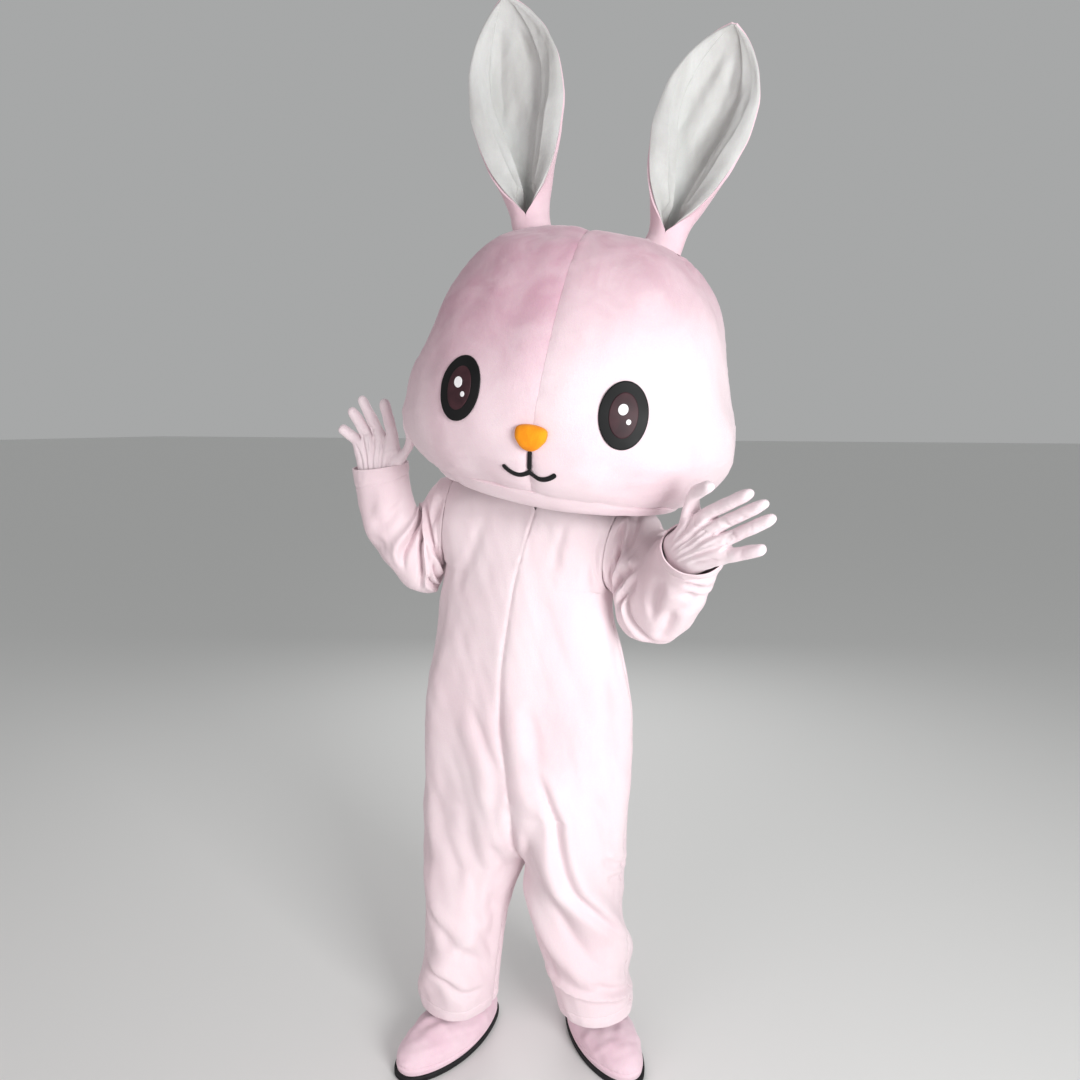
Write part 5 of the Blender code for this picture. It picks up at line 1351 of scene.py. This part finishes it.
def make_gloves():
    """Five-finger gloves, smoothed and creased, with a thin wall."""
    for name in SIDES:
        hand, along, across, out = hand_axes(name)
        points, faces = glove_cage(name)
        cage = add_mesh(f"cage_{name}", points, faces)
        smoother = cage.modifiers.new("smooth", "SUBSURF")
        smoother.levels = 4
        seen = cage.evaluated_get(bpy.context.evaluated_depsgraph_get())
        mesh = bpy.data.meshes.new_from_object(seen)
        bpy.data.objects.remove(cage, do_unlink=True)
        spots = np.array([v.co for v in mesh.vertices]) + WEARER_AT
        normal = np.array([v.normal for v in mesh.vertices])
        local = np.stack([(spots - hand["wrist"]) @ axis for axis in (across, along, out)], -1)
        facing = smooth(0.25, 0.75, np.abs(normal @ out))
        lift = crease_lift(GLOVE_CREASES, local[:, 0], local[:, 1], (1.0, 1.0)) * facing
        for digit in ("index", "middle", "ring", "little", "thumb"):
            root = hand["palm"] if digit != "thumb" else mix(hand["wrist"], hand["palm"], 0.6)
            way = hand[digit] - root
            reach = float(np.linalg.norm(way))
            share = (spots - root) @ way / reach**2
            centre = root + np.clip(share, 0, 1)[:, None] * way
            near = smooth(0.030, 0.018, np.linalg.norm(spots - centre, axis=1))
            for place, depth in ((0.30, 0.0016), (0.60, 0.0007)):
                wobble = 0.03 * ripple(spots, 73, (0.04, 0.04, 0.04))
                lift -= depth * hill((share - place + wobble) * reach, 0.0030) * near * facing
        lift += 0.0004 * ripple(spots, 79, (0.06, 0.06, 0.06)) * smooth(0.0, 0.03, local[:, 1] + 0.01)
        mesh.vertices.foreach_set("co", (spots + normal * lift[:, None] - WEARER_AT).ravel())
        mesh.update()
        glove = bpy.data.objects.new(f"cloth_glove_{name}", mesh)
        bpy.context.scene.collection.objects.link(glove)
        mesh.shade_smooth()
        wall = glove.modifiers.new("wall", "SOLIDIFY")
        wall.thickness = GLOVE_WALL
        wall.offset = -1
        declare_cut(dress(glove, f"glove_{name}", GLOVE_CLOTH))


# Shoes
def shoe_outline(angle):
    """Sole outline in the shoe's frame: y towards the toe, origin in the middle of the length."""
    width = SHOE_HALF_WIDTH * (1.0 + 0.10 * np.cos(angle) - 0.10 * np.cos(2 * angle))
    return vectors(width * power(np.sin(angle), 0.85), SHOE_HALF_LENGTH * np.cos(angle), 0.0)


def shoe_place(name, points):
    """From the shoe's own frame to the room."""
    toe_x, toe_y, heel_x, heel_y = SHOES[name]
    forward = unit(np.array([toe_x - heel_x, toe_y - heel_y, 0.0]))
    sideways = np.array([-forward[1], forward[0], 0.0])
    middle = np.array([(toe_x + heel_x) / 2, (toe_y + heel_y) / 2, 0.0])
    upward = np.array([0.0, 0.0, 1.0])
    return middle + points[..., :1] * sideways + points[..., 1:2] * forward + points[..., 2:] * upward


def shoe_upper(angle, share):
    """The upper from the sole's edge (0) to the ankle rim (1)."""
    foot = shoe_outline(angle) * 0.97
    rim = vectors(ANKLE_HALF_WIDTH * np.sin(angle), -0.152 + ANKLE_FROM_HEEL + ANKLE_HALF_LENGTH * np.cos(angle), 0.0)
    front = (0.5 + 0.5 * np.cos(angle)) ** 2
    quarter = share * math.pi / 2
    point = mix(foot, rim, mix(share, 1 - np.cos(quarter), front)[..., None])
    height = SHOE_RIM - SOLE_THICK - 0.012 * front
    point[..., 2] = SOLE_THICK + SEAM_GAP + height * mix(share, np.sin(quarter) ** 0.75, front)
    swell = 0.006 * np.sin(math.pi * np.minimum(1.0, share * 1.6))
    return point + unit(foot * np.array([1.0, 1.0, 0.0])) * swell[..., None]


def make_shoes():
    """Slip-on plush shoes: a padded upper with an ankle opening over a flat black sole."""
    for name in SIDES:
        shares = np.concatenate([np.linspace(0, 0.16, 16), np.linspace(0.16, 1.0, 44)[1:]])
        share, angle = np.meshgrid(shares, np.arange(168) / 168 * 2 * math.pi, indexing="ij")
        base = shoe_upper(angle, share)
        normal = grid_normals(base, wrap=True)
        if (normal * (base - np.array([0.0, 0.0, 0.03]))).sum() < 0:
            normal = -normal
        normal[0, :, 2] = 0.0
        normal = unit(normal)
        lift = -0.0016 * hill(share - 0.085, 0.010) + 0.0010 * hill(share - 0.045, 0.020)
        lift += 0.0010 * ripple(base, 83, (0.06, 0.06, 0.06)) * smooth(0.05, 0.2, share)
        gather = np.sin(angle * 46 + 2 * ripple(base, 89, (0.05, 0.05, 0.05)))
        lift += 0.0007 * gather * hill(share - 0.12, 0.03)
        lift -= 0.0020 * hill(share - 0.93, 0.012)
        outer = base + normal * lift[..., None]
        inner = base - normal * SHOE_WALL
        piece = add_wall(f"plush_shoe_{name}", shoe_place(name, outer), shoe_place(name, inner), wrap=True)
        dress(piece, f"shoe_upper_{name}", SHOE_CLOTH)

        profile = ((0.0, 0.0), (0.96, 0.0), (1.005, 0.0012), (1.018, 0.0035), (1.02, 0.0070), (1.006, 0.0078),
                   (1.006, 0.0086), (1.02, 0.0094), (1.018, 0.0125), (1.005, SOLE_THICK), (0.0, SOLE_THICK))
        angle = 2 * math.pi * np.arange(144) / 144
        rings = []
        for size, height in profile[1:-1]:
            ring = shoe_outline(angle) * size
            ring[..., 2] = height
            rings.append(ring)
        rings = np.stack(rings)
        count, rows = len(angle), len(rings)
        faces = []
        for row in range(rows - 1):
            for i in range(count):
                j = (i + 1) % count
                faces.append([row * count + i, row * count + j, (row + 1) * count + j, (row + 1) * count + i])
        faces.append(list(range(count))[::-1])
        faces.append([(rows - 1) * count + i for i in range(count)])
        sole = add_mesh(f"rubber_sole_{name}", shoe_place(name, rings).reshape(-1, 3), faces)
        dress(sole, f"shoe_sole_{name}", RUBBER)


# Camera, floor and light
def make_camera():
    """The photograph's viewpoint: eye height, turned 20 degrees, looking a little down."""
    azimuth, pitch = math.radians(20), math.radians(8.2)
    right = Vector((math.cos(azimuth), math.sin(azimuth), 0.0))
    level = Vector((-math.sin(azimuth), math.cos(azimuth), 0.0))
    forward = level * math.cos(pitch) + Vector((0, 0, -math.sin(pitch)))
    up = level * math.sin(pitch) + Vector((0, 0, math.cos(pitch)))
    place = -1.76 * level + 0.02 * right + Vector((0, 0, 1.42)) - Vector(WEARER_AT)
    matrix = Matrix((right, up, -forward)).transposed().to_4x4()
    matrix.translation = place
    data = bpy.data.cameras.new("camera")
    data.sensor_width = 36.0
    data.lens = 27.5
    camera = bpy.data.objects.new("camera", data)
    camera.matrix_world = matrix
    bpy.context.scene.collection.objects.link(camera)
    bpy.context.scene.camera = camera


def make_floor():
    """A plain pale floor that the shoes stand on."""
    half = FLOOR_HALF
    points = np.array([(-half, -half, 0), (half, -half, 0), (half, half, 0), (-half, half, 0)], float)
    floor = add_mesh("floor", points, [(0, 1, 2, 3)])
    finish = bpy.data.materials.new("pale floor")
    finish.use_nodes = True
    shader = finish.node_tree.nodes["Principled BSDF"]
    shader.inputs["Base Color"].default_value = FLOOR_TONE
    shader.inputs["Roughness"].default_value = 0.85
    floor.data.materials.append(finish)


def add_light(name, place, at, size, power_w, colour):
    """A soft square light that faces a point, both above the floor."""
    data = bpy.data.lights.new(name, "AREA")
    data.energy = power_w
    data.size = size
    data.color = colour
    light = bpy.data.objects.new(name, data)
    place, at = Vector(place) - Vector(WEARER_AT), Vector(at) - Vector(WEARER_AT)
    light.location = place
    light.rotation_mode = "QUATERNION"
    light.rotation_quaternion = (at - place).to_track_quat("-Z", "Y")
    bpy.context.scene.collection.objects.link(light)


def make_light():
    """A large soft key from the costume's left, a weaker fill, and a pale room."""
    for name, row in LIGHTS.items():
        add_light(name, *row)
    world = bpy.data.worlds.new("pale room")
    world.use_nodes = True
    backdrop = world.node_tree.nodes["Background"]
    backdrop.inputs["Color"].default_value = ROOM_TONE
    backdrop.inputs["Strength"].default_value = ROOM_STRENGTH
    bpy.context.scene.world = world
    bpy.context.scene.view_settings.view_transform = "Standard"


make_camera()
make_floor()
make_light()
make_suit()
make_sleeves()
make_head()
make_ears()
make_eyes()
make_nose()
make_mouth()
make_gloves()
make_shoes()
